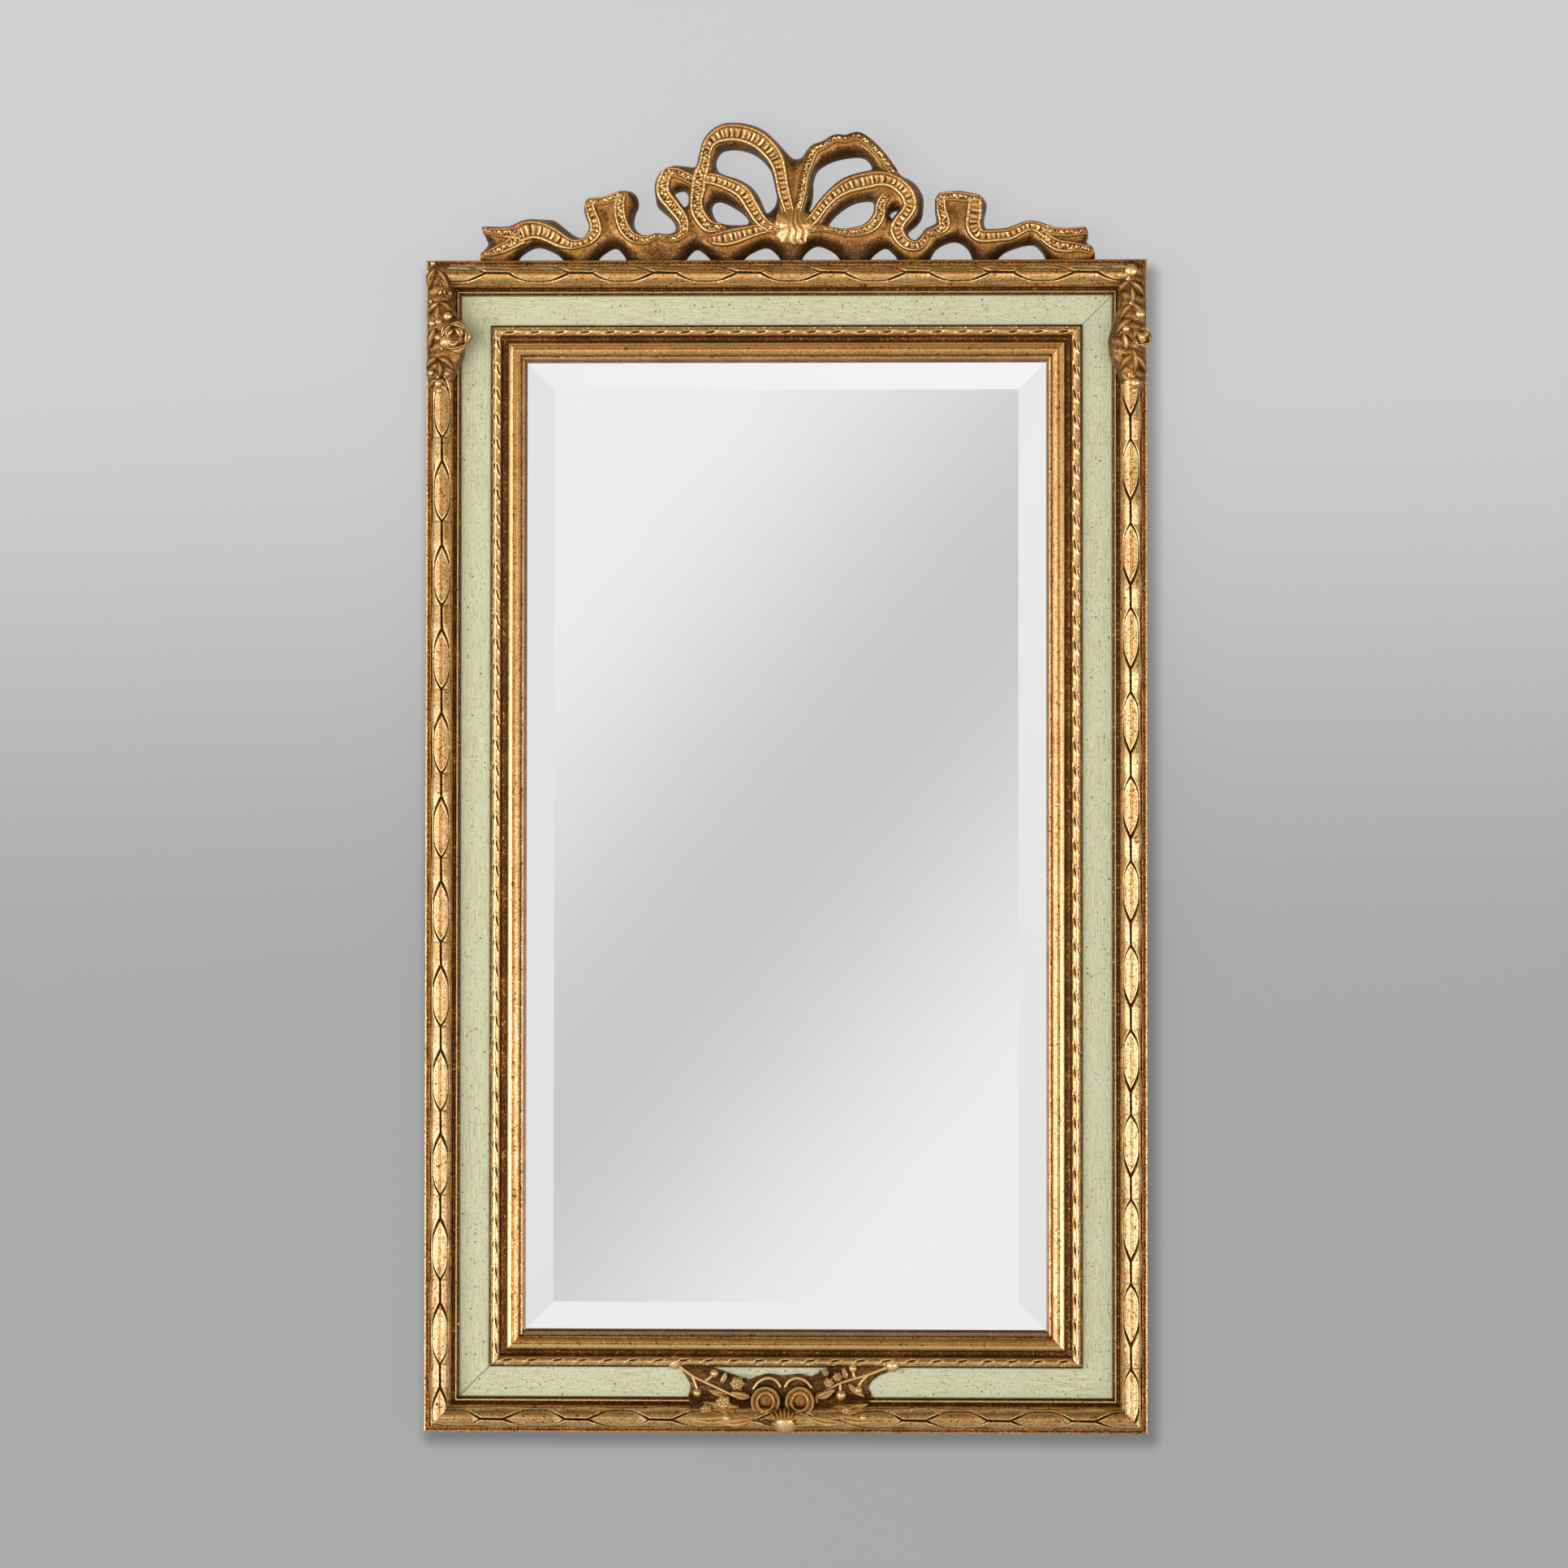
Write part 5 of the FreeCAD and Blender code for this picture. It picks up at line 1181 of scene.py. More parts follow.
def drop_ground(shell, side):
    """Ground of a corner drop, which covers the moulding under the leaves."""
    rows, columns = 60, 21
    down, *edges = np.array(DROP_GROUND, float).T
    even = np.linspace(down[0], down[-1], rows)
    outer, inner, top = (np.interp(even, down, edge)[:, None] for edge in edges)
    turns = np.radians(np.linspace(180, 0, columns))[None, :]
    ripple = 0.35 * np.sin(even[:, None] * 0.55 + 3 * np.cos(turns)) * np.sin(turns)
    across = (outer + inner) / 2 + (inner - outer) / 2 * np.cos(turns)
    rings = np.empty((rows, columns + 2, 3))
    flip = 1 if side == "left" else -1
    rings[:, 1:-1, 0] = flip * (across - SIDE)
    rings[:, 1:-1, 1] = DROP_RIM + (top - DROP_RIM) * np.sin(turns) ** 0.55 + ripple
    rings[:, 0, 0] = flip * (outer[:, 0] + 0.2 - SIDE)
    rings[:, -1, 0] = flip * (inner[:, 0] - 0.2 - SIDE)
    rings[:, (0, -1), 1] = DROP_FOOT
    rings[:, :, 2] = TOP - even[:, None] * DROP_SCALE
    tones = np.full((rows, columns + 2), 0.12)
    tones[:, 1:-1] = 0.1 + 0.08 * np.sin(turns) + 0.3 * ripple
    shell.loft(rings, tones)


def spray_place(point):
    """Place on the frame of a pixel of the spray in the photograph."""
    x = (point[0] - SPRAY_MIDDLE_PX) * SPRAY_SCALE[0]
    return np.array([x, BOTTOM + (SPRAY_FOOT_PX - point[1]) * SPRAY_SCALE[1]])


def frame_seat(z):
    """Height of the lower rail's mouldings at a place up from its edge."""
    return np.interp(z - BOTTOM, RAIL_DISTANCES, RAIL_HEIGHTS)


def add_moulding(kind, side, profile, finish, slot):
    """Gilt length of a moulding, in place of its solid."""
    shell = Shell()
    sweep_side(shell, side, profile)
    name = kind + "_moulding_gilt_" + side
    add_piece(name, shell_mesh(name, shell, finish, MOULDING_SHARP), slot, kind + "_moulding_" + side)


def add_carving(kind, side, length, seat, pitch, first, finish, slot):
    """Carved length repeated along a side, as a piece of its own."""
    made = repeat_along(length, side, seat[0], pitch, first, finish)
    made.name = kind + "_" + side
    finish_shading(made, CARVING_SHARP)
    add_piece(made.name, made, slot)


class MIRROR_OT_outer_mouldings(Operator):
    """Gilt outer mouldings with their carved laurel torus."""

    bl_idname = "mirror.outer_mouldings"
    bl_label = "Outer mouldings"

    def execute(self, context):
        sizes = context.scene.mirror_sizes
        finish = gilding(context.scene.mirror_finishes, "carved gilding")
        slot = "carved_gilding"
        pitch = sizes.leaf_pitch / MM
        relief = laurel_relief(pitch, sizes.leaf_relief / MM)
        for side in SIDE_TURNS:
            add_moulding("outer", side, OUTER_EDGE + OUTER_INNER, finish, slot)
            length = carved_length(
                "laurel", TORUS_SEAT, TORUS_RADII, pitch, LAUREL_GRID, relief, finish, STEM_SHIFTS[side])
            add_carving("laurel", side, length, TORUS_SEAT, pitch, LEAF_FIRSTS[side], finish, slot)
        return {"FINISHED"}


class MIRROR_OT_sight_mouldings(Operator):
    """Gilt sight mouldings with their ribbon bead."""

    bl_idname = "mirror.sight_mouldings"
    bl_label = "Sight mouldings"

    def execute(self, context):
        sizes = context.scene.mirror_sizes
        finish = gilding(context.scene.mirror_finishes, "sight gilding")
        slot = "sight_gilding"
        for side in SIDE_TURNS:
            add_moulding("sight", side, SIGHT_PROFILE, finish, slot)
            run = 2 * (SIDE_HALVES[side] - BEAD_SEAT[0])
            pitch = run / round(run / (sizes.bead_pitch / MM))
            relief = ribbon_relief(pitch)
            length = carved_length("ribbon", BEAD_SEAT, BEAD_RADII, pitch, BEAD_GRID, relief, finish)
            add_carving("ribbon_bead", side, length, BEAD_SEAT, pitch, 0.0, finish, slot)
        return {"FINISHED"}


class MIRROR_OT_crest(Operator):
    """Cast bow with its ribbons, standing on the top rail."""

    bl_idname = "mirror.crest"
    bl_label = "Bow crest"

    def execute(self, context):
        sizes = context.scene.mirror_sizes
        finish = gilding(context.scene.mirror_finishes, "cast gilding")
        body = Shell()
        crest_body(body, CREST_GRID)
        mesh = shell_mesh("bow_body", body, finish, CASTING_SHARP)
        add_piece("bow_body", mesh, "cast_gilding", "crest")
        ribbons = Shell()
        for index, (name, (line, length)) in enumerate(crest_ribbons(RIBBON_STEP).items()):
            crest_ribbon(ribbons, name, line, length, RIBBON_TOP - RIBBON_STAGGER * (index % 5), sizes)
        crest_knot(ribbons, KNOT_TOP)
        mesh = shell_mesh("bow_ribbons", ribbons, finish, CASTING_SHARP)
        add_piece("bow_ribbons", mesh, "cast_gilding")
        return {"FINISHED"}


class MIRROR_OT_corner_drops(Operator):
    """Leaf and flower drops on the upper corners."""

    bl_idname = "mirror.corner_drops"
    bl_label = "Corner drops"

    def execute(self, context):
        finish = gilding(context.scene.mirror_finishes, "cast gilding")
        for side, (leaves, buds, (centre, radius, shift, seat, rise)) in DROPS.items():
            shell = Shell()
            drop_ground(shell, side)
            for base, tip, half in leaves:
                in_middle = MIDDLE_BAND_PX[0] <= tip[0] <= MIDDLE_BAND_PX[1]
                seats = MIDDLE_LEAF_SEATS if in_middle else SIDE_LEAF_SEATS
                bend = DROP_LEAF_BEND if (tip[0] > base[0]) == (side == "left") else -DROP_LEAF_BEND
                leaf(shell, drop_place(side, base), drop_place(side, tip), half * DROP_SCALE, seats,
                     DROP_LEAF_THICKNESS, bend, ridged=True)
            for x, y, size in buds:
                boss(shell, drop_place(side, (x, y)), DROP_BUD_SEAT, size * DROP_SCALE, DROP_BUD_RISE)
            bud = drop_place(side, (centre[0] + shift[0], centre[1] + shift[1]))
            rose(shell, drop_place(side, centre), seat, radius * DROP_SCALE, rise, bud)
            mesh = shell_mesh("leaf_drop_" + side, shell, finish, CASTING_SHARP)
            add_piece(mesh.name, mesh, "cast_gilding", "corner_drop_" + side)
        return {"FINISHED"}


class MIRROR_OT_bottom_spray(Operator):
    """Small bow with flower sprays on the lower rail."""

    bl_idname = "mirror.bottom_spray"
    bl_label = "Bottom spray"

    def execute(self, context):
        finish = gilding(context.scene.mirror_finishes, "cast gilding")
        shell = Shell()
        self.ground(shell)
        for points in SPRAY_TUBES_PX:
            line = [(*spray_place(point), point[2] * STEM_LIFT) for point in points]
            tube(shell, line, STEM_SEAT, STEM_RADIUS)
        for x, y, size, high in SPRAY_FLOWERS_PX:
            radius = size * SPRAY_SCALE[0]
            seat = FLOWER_SEAT + high * FLOWER_LIFT
            flower(shell, spray_place((x, y)), seat, radius, FLOWER_PETALS, FLOWER_RISE, x)
        for x, y, size, high in SPRAY_BUDS_PX:
            boss(shell, spray_place((x, y)), SPRAY_BUD_SEAT + high, size * SPRAY_SCALE[0], SPRAY_BUD_RISE)
        for base, tip, half, high in SPRAY_LEAVES_PX:
            seats = [seat + high for seat in SPRAY_LEAF_SEATS]
            bend = SPRAY_LEAF_BEND if base[0] > tip[0] else -SPRAY_LEAF_BEND
            leaf(shell, spray_place(base), spray_place(tip), half * SPRAY_SCALE[0], seats,
                 SPRAY_LEAF_THICKNESS, bend)
        for centre in BOW_RINGS_PX:
            self.ring(shell, spray_place(centre))
        self.pouch(shell)
        mesh = shell_mesh("flower_spray", shell, finish, CASTING_SHARP)
        add_piece("flower_spray", mesh, "cast_gilding", "bottom_spray")
        return {"FINISHED"}

    @staticmethod
    def ground(shell):
        """Uneven ground under the spray, rising over the lower mouldings."""
        outline = closed_curve([spray_place(point) for point in SPRAY_GROUND_PX], 1.0)
        middle = outline.mean(axis=0)
        shares = np.array([1.0, 0.985, 0.93, 0.8, 0.62, 0.42, 0.2, 0.04])
        rings = np.empty((len(shares) + 1, len(outline), 3))
        tones = np.empty((len(shares) + 1, len(outline)))
        for row, share in enumerate([1.0, *shares]):
            place = middle + (outline - middle) * share
            ripple = 0.3 * np.sin(place[:, 0] * 0.9) * np.cos(place[:, 1] * 1.1)
            lift = 0.5 if row == 1 else 1.2 + ripple
            rings[row, :, 0] = place[:, 0]
            rings[row, :, 2] = place[:, 1]
            rings[row, :, 1] = SPRAY_FOOT if row == 0 else frame_seat(place[:, 1]) + lift
            tones[row] = 0.07 + 0.2 * ripple
        shell.loft(rings, tones)

    @staticmethod
    def ring(shell, centre):
        """Loop of the small bow: a ring with two bright rims and a sunk middle."""
        turns = np.linspace(0, 2 * np.pi, 64, endpoint=False)[:, None]
        inner, outer = (radius * SPRAY_SCALE[0] for radius in BOW_RING_RADII_PX)
        shares, drops, tones = np.array(LOOP_PROFILE, float).T
        radius = inner + (outer - inner) * shares
        rings = np.empty((len(turns), len(shares), 3))
        rings[:, :, 0] = centre[0] + radius * np.cos(turns)
        rings[:, :, 2] = centre[1] + radius * np.sin(turns)
        rings[:, :, 1] = LOOP_TOP - LOOP_TILT * np.sin(turns) + drops
        shell.loft(rings, np.broadcast_to(tones, rings.shape[:2]), caps=False, wrap=True)
        boss(shell, centre, LOOP_EYE_SEAT, inner + 0.6, 1.0, 0.26)

    @staticmethod
    def pouch(shell):
        """Smooth drop under the bow, lapping over the frame's edge moulding, with crinkled folds above it."""
        centre = spray_place(POUCH_PX[:2])
        turns = np.linspace(0, 2 * np.pi, 72, endpoint=False)
        shares = np.array([1.0, 0.99, 0.92, 0.8, 0.64, 0.44, 0.22, 0.05])
        rings = np.empty((len(shares), len(turns), 3))
        tones = np.empty((len(shares), len(turns)))
        below = np.sin(turns) < 0
        for row, share in enumerate(shares):
            deep = np.where(below, POUCH_PX[3], 0.25 * POUCH_PX[3]) * SPRAY_SCALE[1]
            rings[row, :, 0] = centre[0] + share * POUCH_PX[2] * SPRAY_SCALE[0] * np.cos(turns)
            rings[row, :, 2] = centre[1] + share * deep * np.sin(turns)
            rings[row, :, 1] = POUCH_FOOT if row == 0 else POUCH_TOP - POUCH_FALL * share ** 3
            tones[row] = 0.8 - 0.5 * share ** 4
        rings[:, :, 2] = np.maximum(rings[:, :, 2], BOTTOM + 0.1)
        shell.loft(rings, tones)
        for tip in FOLDS_PX:
            base = (POUCH_PX[0] + 0.55 * (tip[0] - POUCH_PX[0]), POUCH_PX[1] + 1)
            leaf(shell, spray_place(base), spray_place(tip), FOLD_HALF, FOLD_SEATS, FOLD_THICKNESS,
                 ridged=True)


class MIRROR_OT_painted_rails(Operator):
    """Painted frieze on the rails, with edges darkened by wear and by painted shade, open mitres, and their stained
    backs.
    """

    bl_idname = "mirror.painted_rails"
    bl_label = "Painted rails"

    def execute(self, context):
        colours = context.scene.mirror_finishes
        finish, tree, shader, place = new_finish("painted frieze")
        axes = put(tree, "ShaderNodeSeparateXYZ", {0: place}).outputs
        from_side = maths(tree, "SUBTRACT", SIDE * MM, maths(tree, "ABSOLUTE", axes[0]))
        up = maths(tree, "SUBTRACT", axes[2], MIDDLE * MM)
        from_end = maths(tree, "SUBTRACT", HALF_HEIGHT * MM, maths(tree, "ABSOLUTE", up))
        upright = maths(tree, "LESS_THAN", from_side, from_end)
        across = maths(tree, "MINIMUM", from_side, from_end)
        along = put(tree, "ShaderNodeMix", {0: upright, 2: axes[0], 3: axes[2]}, data_type="FLOAT").outputs[0]
        run = put(tree, "ShaderNodeCombineXYZ", {0: along, 1: across, 2: upright}).outputs[0]
        streak = noise(tree, stretch(tree, run, (60.0, 900.0, 3.0)), 1.0, 4.0, 0.6)
        scratch = noise(tree, stretch(tree, run, (220.0, 1500.0, 3.0)), 1.0, 2.0, 0.5)
        cloud = noise(tree, place, 30.0, 3.0)
        fine, coarse = self.specks(tree, place, 800.0, 0.55), self.specks(tree, place, 330.0, 0.7)
        pit = maths(tree, "MAXIMUM", fine, coarse)
        scored = ease(tree, scratch, 0.6, 0.72)
        seam = maths(tree, "ABSOLUTE", maths(tree, "SUBTRACT", from_side, from_end))
        opened = maths(tree, "GREATER_THAN", maths(tree, "MULTIPLY", axes[0], up), 0.0)
        seam = ease(tree, maths(tree, "ADD", seam, maths(tree, "MULTIPLY", cloud, 0.0004)), 0.0008, 0.0003)
        # Darkening along both mouldings: partly wear, partly painted shade where the mouldings meet the frieze
        outer_edge = ease(tree, across, *FRIEZE_OUTER_WEAR_AND_SHADE)
        inner_edge = ease(tree, across, *FRIEZE_INNER_WEAR_AND_SHADE)
        edge = maths(tree, "MULTIPLY", maths(tree, "MAXIMUM", outer_edge, inner_edge), 0.75)
        crack = maths(tree, "MULTIPLY", maths(tree, "MULTIPLY", seam, opened), 0.85)
        worn_and_shaded = maths(tree, "MAXIMUM", maths(tree, "MAXIMUM", pit, maths(tree, "MULTIPLY", scored, 0.4)), edge)
        worn_and_shaded = maths(tree, "MAXIMUM", worn_and_shaded, crack)
        paint = colours.paint
        light = tuple(min(1.0, value * 1.13) for value in paint)
        dark = (paint[0] * 0.8, paint[1] * 0.83, paint[2] * 0.77)
        cool = (paint[0] * 0.98, paint[1] * 1.03, paint[2] * 1.06)
        base = blend(tree, ease(tree, streak, 0.3, 0.7), colour(dark), colour(light))
        base = blend(tree, ease(tree, cloud, 0.35, 0.75), base, colour(cool))
        base = blend(tree, worn_and_shaded, base, colour(colours.paint_worn_and_shade))
        bare = blend(tree, streak, colour(scaled(colours.wood, 0.6)), colour(colours.wood))
        front = ease(tree, axes[1], *((BACK - height) * MM for height in PAINT_HEIGHTS))
        tree.links.new(blend(tree, front, bare, base), shader.inputs["Base Color"])
        tree.links.new(maths(tree, "MULTIPLY_ADD", streak, 0.2, 0.5), shader.inputs["Roughness"])
        hollow = maths(tree, "MULTIPLY_ADD", worn_and_shaded, -1.0, maths(tree, "MULTIPLY", streak, 0.35))
        bump(tree, shader, hollow, 0.0004)
        give(finish, ["base_rail_" + side for side in SIDE_TURNS])
        return {"FINISHED"}

    @staticmethod
    def specks(tree, place, scale, rare):
        """Small dark specks, fewer where the chance needed is higher."""
        cells = put(tree, "ShaderNodeTexVoronoi", {"Vector": place, "Scale": scale}, feature="F1").outputs
        chance = put(tree, "ShaderNodeSeparateColor", {0: cells["Color"]}).outputs[0]
        spot = ease(tree, cells["Distance"], 0.32, 0.1)
        return maths(tree, "MULTIPLY", spot, ease(tree, chance, rare, 1.0))


class MIRROR_OT_plate(Operator):
    """Bevelled mirror plate."""

    bl_idname = "mirror.plate"
    bl_label = "Mirror plate"

    def execute(self, context):
        finish, tree, shader, place = new_finish("silvered plate")
        axes = put(tree, "ShaderNodeSeparateXYZ", {0: place}).outputs
        haze = noise(tree, place, 14.0, 4.0)
        silver = blend(tree, haze, (0.95, 0.955, 0.955, 1.0), (0.97, 0.975, 0.975, 1.0))
        backing = blend(tree, noise(tree, place, 220.0), (0.16, 0.15, 0.14, 1.0), (0.24, 0.22, 0.2, 1.0))
        rear = ease(tree, axes[1], *((BACK - height) * MM for height in SILVER_HEIGHTS))
        tree.links.new(blend(tree, rear, silver, backing), shader.inputs["Base Color"])
        tree.links.new(maths(tree, "SUBTRACT", 1.0, rear), shader.inputs["Metallic"])
        rough = maths(tree, "MULTIPLY_ADD", rear, 0.5, maths(tree, "MULTIPLY", haze, 0.004))
        tree.links.new(rough, shader.inputs["Roughness"])
        give(finish, ["mirror_plate"])
        return {"FINISHED"}


class MIRROR_OT_back(Operator):
    """Finishes of the back: board, paper, blocks, tongues, dowels, buttons, hanger, screws and pads."""

    bl_idname = "mirror.back"
    bl_label = "Back and fittings"

    def execute(self, context):
        colours = context.scene.mirror_finishes
        screws = ["turn_button_screws", "hanger_screws"]
        buttons = [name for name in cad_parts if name.startswith("turn_button_") and name not in screws]
        self.metal("dull brass", colours.brass, ["hanger_plate", "hanger_ring"] + buttons)
        self.metal("dull zinc", ZINC, screws)
        self.soft("hardboard", colours.board, 700.0, 0.6, ["backing_board"])
        self.soft("packing paper", PAPER, 90.0, 0.85, ["packing_sheet"])
        self.soft("cork", CORK, 900.0, 0.9, ["glass_blocks"])
        self.soft("bare wood", BARE_WOOD, 260.0, 0.7, ["mitre_tongues", "crest_dowels"])
        self.soft("felt", colours.felt, 1500.0, 1.0, ["wall_pads"])
        return {"FINISHED"}

    @staticmethod
    def metal(name, tint, nodes):
        """Brushed metal, tarnished in clouds."""
        finish, tree, shader, place = new_finish(name)
        cloud = noise(tree, place, 160.0, 4.0)
        brush = noise(tree, stretch(tree, place, (300.0, 300.0, 4000.0)), 1.0, 2.0)
        base = blend(tree, ease(tree, cloud, 0.3, 0.65), colour(scaled(tint, 0.55)), colour(tint))
        rough = maths(tree, "MULTIPLY_ADD", brush, 0.2, maths(tree, "MULTIPLY_ADD", cloud, -0.2, 0.4))
        tree.links.new(base, shader.inputs["Base Color"])
        tree.links.new(rough, shader.inputs["Roughness"])
        shader.inputs["Metallic"].default_value = 1.0
        bump(tree, shader, brush, 0.00006)
        give(finish, nodes)

    @staticmethod
    def soft(name, tint, scale, roughness, nodes):
        """Matt finish with a grain of the given scale and larger clouds."""
        finish, tree, shader, place = new_finish(name)
        grain = noise(tree, place, scale, 5.0, 0.7)
        cloud = noise(tree, place, scale * 0.04, 3.0)
        mixed = maths(tree, "MULTIPLY_ADD", cloud, 0.5, maths(tree, "MULTIPLY", grain, 0.6), clamp=True)
        dark, light = colour(scaled(tint, 0.6)), colour(scaled(tint, 1.25))
        tree.links.new(blend(tree, ease(tree, mixed, 0.3, 0.8), dark, light), shader.inputs["Base Color"])
        rough = maths(tree, "MULTIPLY_ADD", grain, 0.2, roughness - 0.15)
        tree.links.new(rough, shader.inputs["Roughness"])
        bump(tree, shader, grain, 0.0002)
        give(finish, nodes)


class MIRROR_OT_stage(Operator):
    """Wall, floor, lamps, world and camera."""

    bl_idname = "mirror.stage"
    bl_label = "Stage"

    def execute(self, context):
        stage = context.scene.mirror_stage
        self.wall(stage)
        self.floor(stage)
        self.world(context.scene)
        self.lamp("key", KEY_PLACE, stage.key)
        self.lamp("fill", FILL_PLACE, stage.fill)
        camera = bpy.data.cameras.new("camera")
        camera.lens = stage.lens
        camera.sensor_width = SENSOR_WIDTH
        eye = bpy.data.objects.new("camera", camera)
        eye.location = CAMERA_PLACE
        eye.rotation_euler = [math.radians(angle) for angle in CAMERA_TURN]
        context.scene.collection.objects.link(eye)
        context.scene.camera = eye
        context.scene.view_settings.view_transform = "Standard"
        return {"FINISHED"}

    @staticmethod
    def panel(name, corners, finish):
        """Flat stage piece."""
        mesh = bpy.data.meshes.new(name)
        mesh.from_pydata(corners, [], [(0, 1, 2, 3)])
        mesh.materials.append(finish)
        piece = bpy.data.objects.new(name, mesh)
        bpy.context.scene.collection.objects.link(piece)
        return piece

    def wall(self, stage):
        """Wall that is seen only from its front and lets the room's light through to the frame's back."""
        finish, tree, shader, place = new_finish("wall")
        axes = put(tree, "ShaderNodeSeparateXYZ", {0: place}).outputs
        pale = blend(tree, ease(tree, axes[2], *WALL_FADE), colour(stage.wall_low), colour(stage.wall))
        shade = blend(tree, self.shadow(tree, axes), pale, SHADOW_COLOUR)
        tree.links.new(shade, shader.inputs["Base Color"])
        shader.inputs["Roughness"].default_value = 1.0
        shader.inputs["Specular IOR Level"].default_value = 0.0
        glow = put(tree, "ShaderNodeEmission", {"Color": shade})
        rays = put(tree, "ShaderNodeLightPath").outputs
        seen = maths(tree, "MAXIMUM", rays["Is Camera Ray"], rays["Is Glossy Ray"])
        seen = maths(tree, "MAXIMUM", seen, rays["Is Transmission Ray"])
        part = maths(tree, "MULTIPLY", seen, WALL_GLOW)
        even = put(tree, "ShaderNodeMixShader", {0: part, 1: shader.outputs[0], 2: glow.outputs[0]})
        behind = put(tree, "ShaderNodeNewGeometry").outputs["Backfacing"]
        clear = put(tree, "ShaderNodeBsdfTransparent")
        both = put(tree, "ShaderNodeMixShader", {0: behind, 1: even.outputs[0], 2: clear.outputs[0]})
        tree.links.new(both.outputs[0], tree.nodes["Material Output"].inputs["Surface"])
        x, y = WALL_HALF_WIDTH, WALL_Y
        corners = [(-x, y, FLOOR_Z), (x, y, FLOOR_Z), (x, y, WALL_TOP), (-x, y, WALL_TOP)]
        piece = self.panel("wall", corners, finish)
        piece.visible_diffuse = False
        piece.visible_shadow = False

    @staticmethod
    def shadow(tree, axes):
        """Strength of the frame's soft shadow at a place on the wall."""
        beside = maths(tree, "ABSOLUTE", maths(tree, "SUBTRACT", axes[0], SHADOW_SHIFT[0] * MM))
        beside = maths(tree, "MAXIMUM", maths(tree, "SUBTRACT", beside, SIDE * MM), 0.0)
        under = maths(tree, "ABSOLUTE", maths(tree, "SUBTRACT", axes[2], (MIDDLE - SHADOW_SHIFT[1]) * MM))
        under = maths(tree, "MAXIMUM", maths(tree, "SUBTRACT", under, HALF_HEIGHT * MM), 0.0)
        reach = put(tree, "ShaderNodeCombineXYZ", {0: beside, 1: under}).outputs[0]
        away = put(tree, "ShaderNodeVectorMath", {0: reach}, operation="LENGTH").outputs["Value"]
        return maths(tree, "MULTIPLY", ease(tree, away, SHADOW_SOFTNESS * MM, 0.0), SHADOW_STRENGTH)

    def floor(self, stage):
        """Pale floor below the frame."""
        finish, tree, shader, place = new_finish("floor")
        cloud = noise(tree, place, 3.0, 4.0)
        dull = colour(scaled(stage.floor, 0.94))
        tree.links.new(blend(tree, cloud, dull, colour(stage.floor)), shader.inputs["Base Color"])
        shader.inputs["Roughness"].default_value = 0.8
        x, y, z = FLOOR_HALF_WIDTH, FLOOR_HALF_DEPTH, FLOOR_Z
        self.panel("floor", [(-x, -y, z), (x, -y, z), (x, y, z), (-x, y, z)], finish)

    @staticmethod
    def lamp(name, place, power):
        """Soft square lamp that faces the frame."""
        light = bpy.data.lights.new(name, "AREA")
        light.shape = "SQUARE"
        light.size = LAMP_SIZE
        light.energy = power
        lamp = bpy.data.objects.new(name, light)
        lamp.location = place
        lamp.visible_glossy = False
        lamp.rotation_euler = (Vector(LAMP_AIM) - Vector(place)).to_track_quat("-Z", "Y").to_euler()
        bpy.context.scene.collection.objects.link(lamp)

    def world(self, scene):
        """Even light, with one room for the plate to reflect and another for the gilding."""
        world = bpy.data.worlds.new("room")
        world.use_nodes = True
        scene.world = world
        tree = world.node_tree
        plain = tree.nodes["Background"]
        heading = put(tree, "ShaderNodeTexCoord").outputs["Generated"]
        axes = put(tree, "ShaderNodeSeparateXYZ", {0: heading}).outputs
        above = ease(tree, axes[2], -0.4, 0.5)
        tree.links.new(blend(tree, above, LIGHT_BELOW, LIGHT_ABOVE), plain.inputs["Color"])
        rays = put(tree, "ShaderNodeLightPath").outputs
        by_gilding, by_plate = self.gilding_room(tree, axes), self.plate_room(tree, axes)
        seen = blend(tree, rays["Is Singular Ray"], by_gilding, by_plate)
        shown = put(tree, "ShaderNodeBackground", {"Color": seen})
        shaders = {0: rays["Is Glossy Ray"], 1: plain.outputs[0], 2: shown.outputs[0]}
        mixed = put(tree, "ShaderNodeMixShader", shaders)
        tree.links.new(mixed.outputs[0], tree.nodes["World Output"].inputs["Surface"])

    @staticmethod
    def plate_room(tree, axes):
        """What the plate shows: a pale room with a darker slanting band, palest at the upper right."""
        across, up, shift, width = 6.26, -5.32, 0.095, 0.85
        dark, gain, corner_gain, side_gain = 0.6, 0.27, 0.06, -0.07
        band = maths(tree, "MULTIPLY_ADD", axes[0], across, shift)
        band = maths(tree, "ABSOLUTE", maths(tree, "MULTIPLY_ADD", axes[2], up, band))
        level = maths(tree, "MULTIPLY_ADD", ease(tree, band, 0.0, width), gain, dark)
        corner = ease(tree, maths(tree, "ADD", axes[0], axes[2]), 0.1, 0.35)
        level = maths(tree, "MULTIPLY_ADD", corner, corner_gain, level)
        sides = ease(tree, maths(tree, "ABSOLUTE", axes[0]), 0.13, 0.2)
        return maths(tree, "MULTIPLY_ADD", sides, side_gain, level)

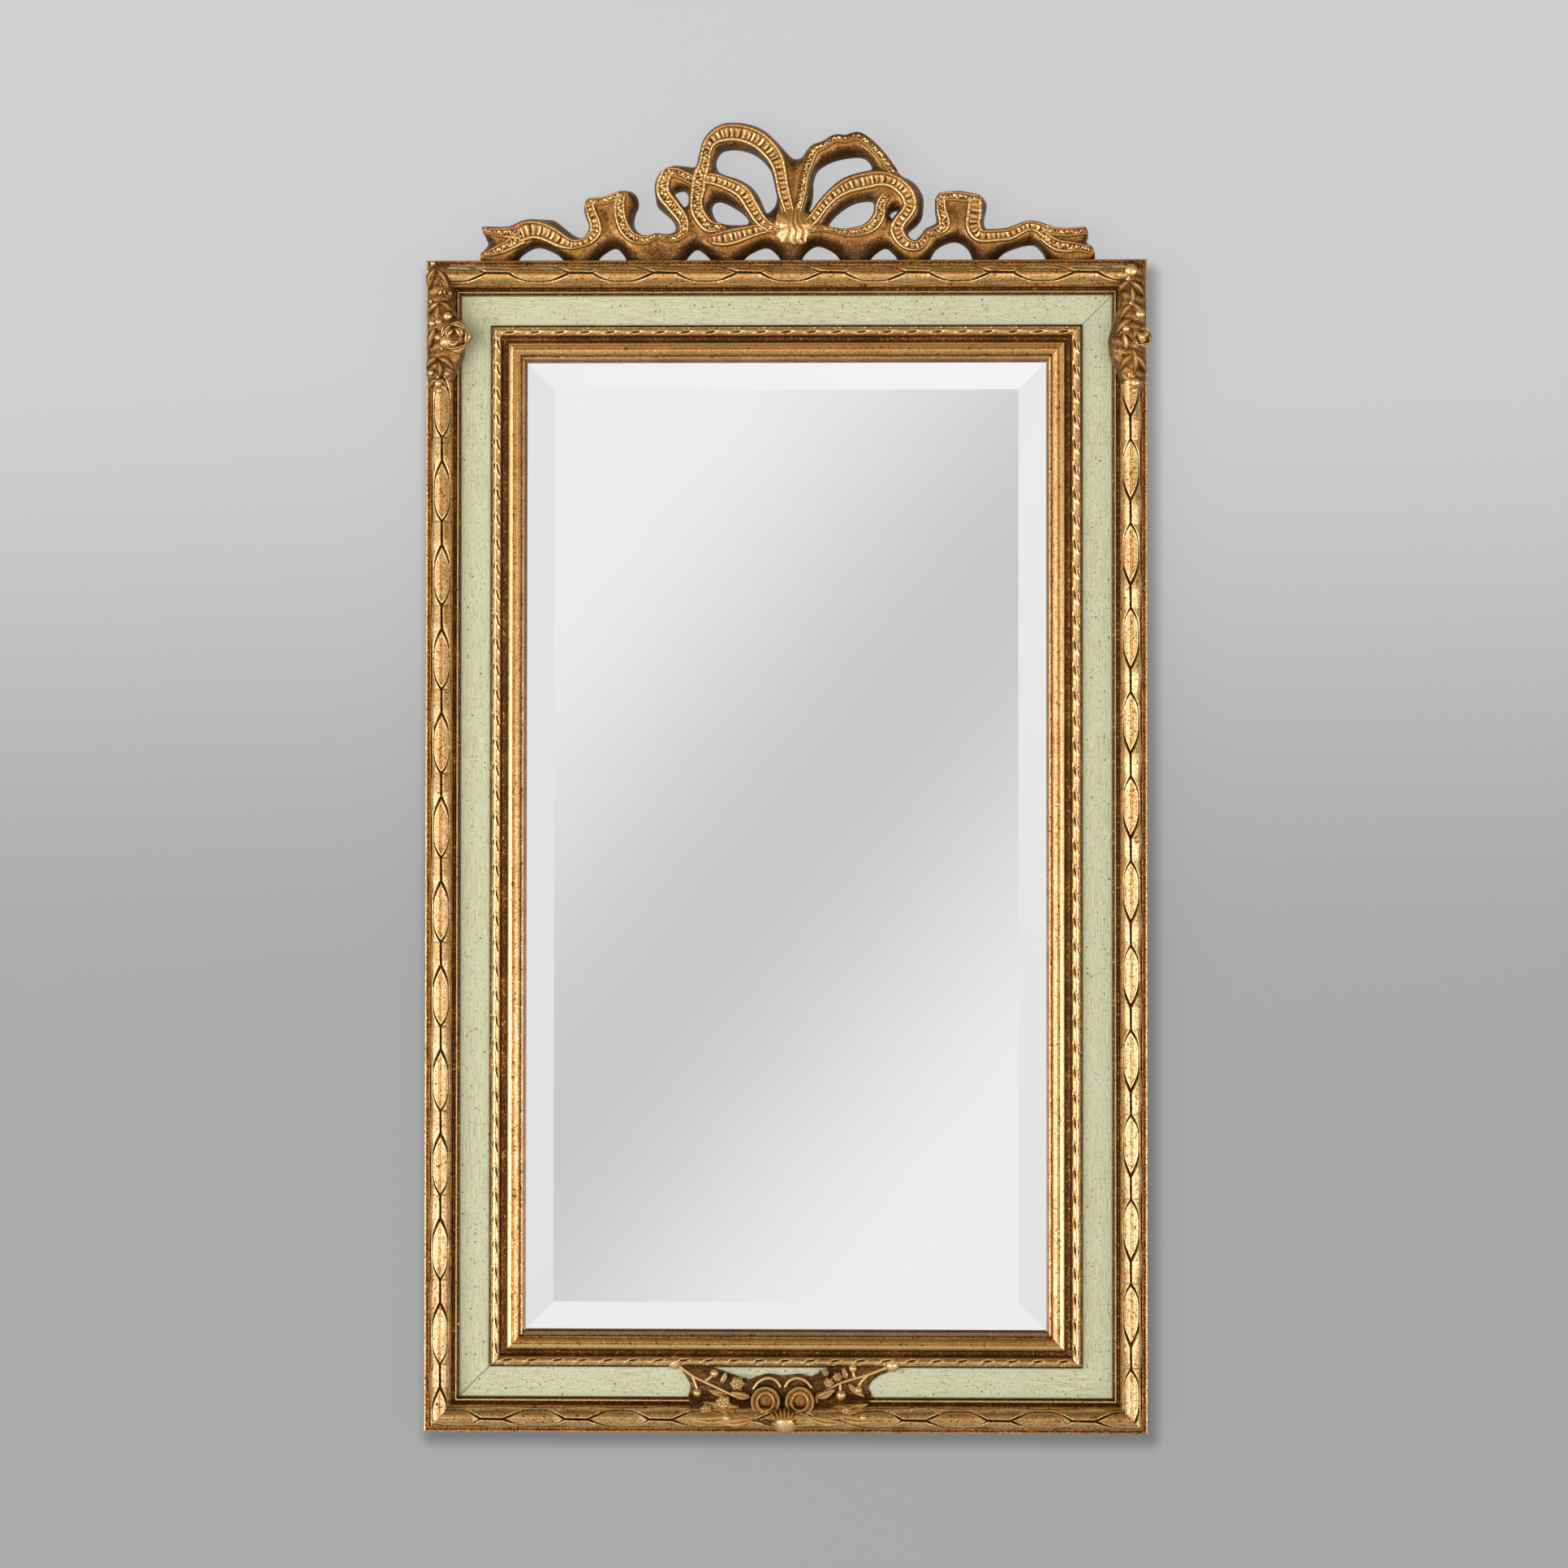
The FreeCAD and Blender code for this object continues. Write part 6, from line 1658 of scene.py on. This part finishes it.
    @staticmethod
    def gilding_room(tree, axes):
        """What the gilding shows: a warm dim room with a bright panel low at each side."""
        left_gain, right_gain, facing_gain = 2.7, 3.6, 0.3
        low = ease(tree, axes[2], 0.07, -0.1)
        left = ease(tree, axes[0], -0.14, -0.45)
        left = maths(tree, "MULTIPLY", left, maths(tree, "MULTIPLY_ADD", low, left_gain, 1.0))
        left = maths(tree, "MULTIPLY", left, ease(tree, axes[2], 0.55, 0.2))
        right = ease(tree, axes[0], 0.14, 0.45)
        right = maths(tree, "MULTIPLY", right, maths(tree, "MULTIPLY", low, right_gain))
        below = maths(tree, "MULTIPLY_ADD", ease(tree, axes[2], 0.1, -0.7), 0.25, 0.04)
        below = maths(tree, "MULTIPLY_ADD", ease(tree, axes[2], -0.2, -0.5), 0.5, below)
        facing = ease(tree, axes[1], -0.4, -0.95)
        facing = maths(tree, "MULTIPLY", facing, maths(tree, "MULTIPLY_ADD", low, facing_gain, facing_gain))
        warm = blend(tree, 1.0, maths(tree, "ADD", facing, below), ROOM_TINT, "MULTIPLY")
        return blend(tree, 1.0, warm, maths(tree, "ADD", left, right), "ADD")


OPERATORS = (MIRROR_OT_outer_mouldings, MIRROR_OT_sight_mouldings, MIRROR_OT_crest, MIRROR_OT_corner_drops,
             MIRROR_OT_bottom_spray, MIRROR_OT_painted_rails, MIRROR_OT_plate, MIRROR_OT_back, MIRROR_OT_stage)


class MIRROR_PT_pieces(Panel):
    """Lists the mirror's pieces and the stage."""

    bl_idname = "MIRROR_PT_pieces"
    bl_label = "Wall Mirror"
    bl_space_type = "VIEW_3D"
    bl_region_type = "UI"
    bl_category = "Wall Mirror"

    def draw(self, context):
        for operator in OPERATORS:
            self.layout.operator(operator.bl_idname)


CLASSES = (MirrorSizes, MirrorFinishes, MirrorStage) + OPERATORS + (MIRROR_PT_pieces,)


def register():
    """Add the classes and their settings."""
    for item in CLASSES:
        bpy.utils.register_class(item)
    bpy.types.Scene.mirror_sizes = PointerProperty(type=MirrorSizes)
    bpy.types.Scene.mirror_finishes = PointerProperty(type=MirrorFinishes)
    bpy.types.Scene.mirror_stage = PointerProperty(type=MirrorStage)


def unregister():
    """Take the settings and the classes away."""
    del bpy.types.Scene.mirror_stage
    del bpy.types.Scene.mirror_finishes
    del bpy.types.Scene.mirror_sizes
    for item in reversed(CLASSES):
        bpy.utils.unregister_class(item)


def main():
    """Build the mirror and its stage."""
    register()
    bpy.ops.mirror.outer_mouldings()
    bpy.ops.mirror.sight_mouldings()
    bpy.ops.mirror.crest()
    bpy.ops.mirror.corner_drops()
    bpy.ops.mirror.bottom_spray()
    bpy.ops.mirror.painted_rails()
    bpy.ops.mirror.plate()
    bpy.ops.mirror.back()
    bpy.ops.mirror.stage()


if __name__ == "__main__":
    main()
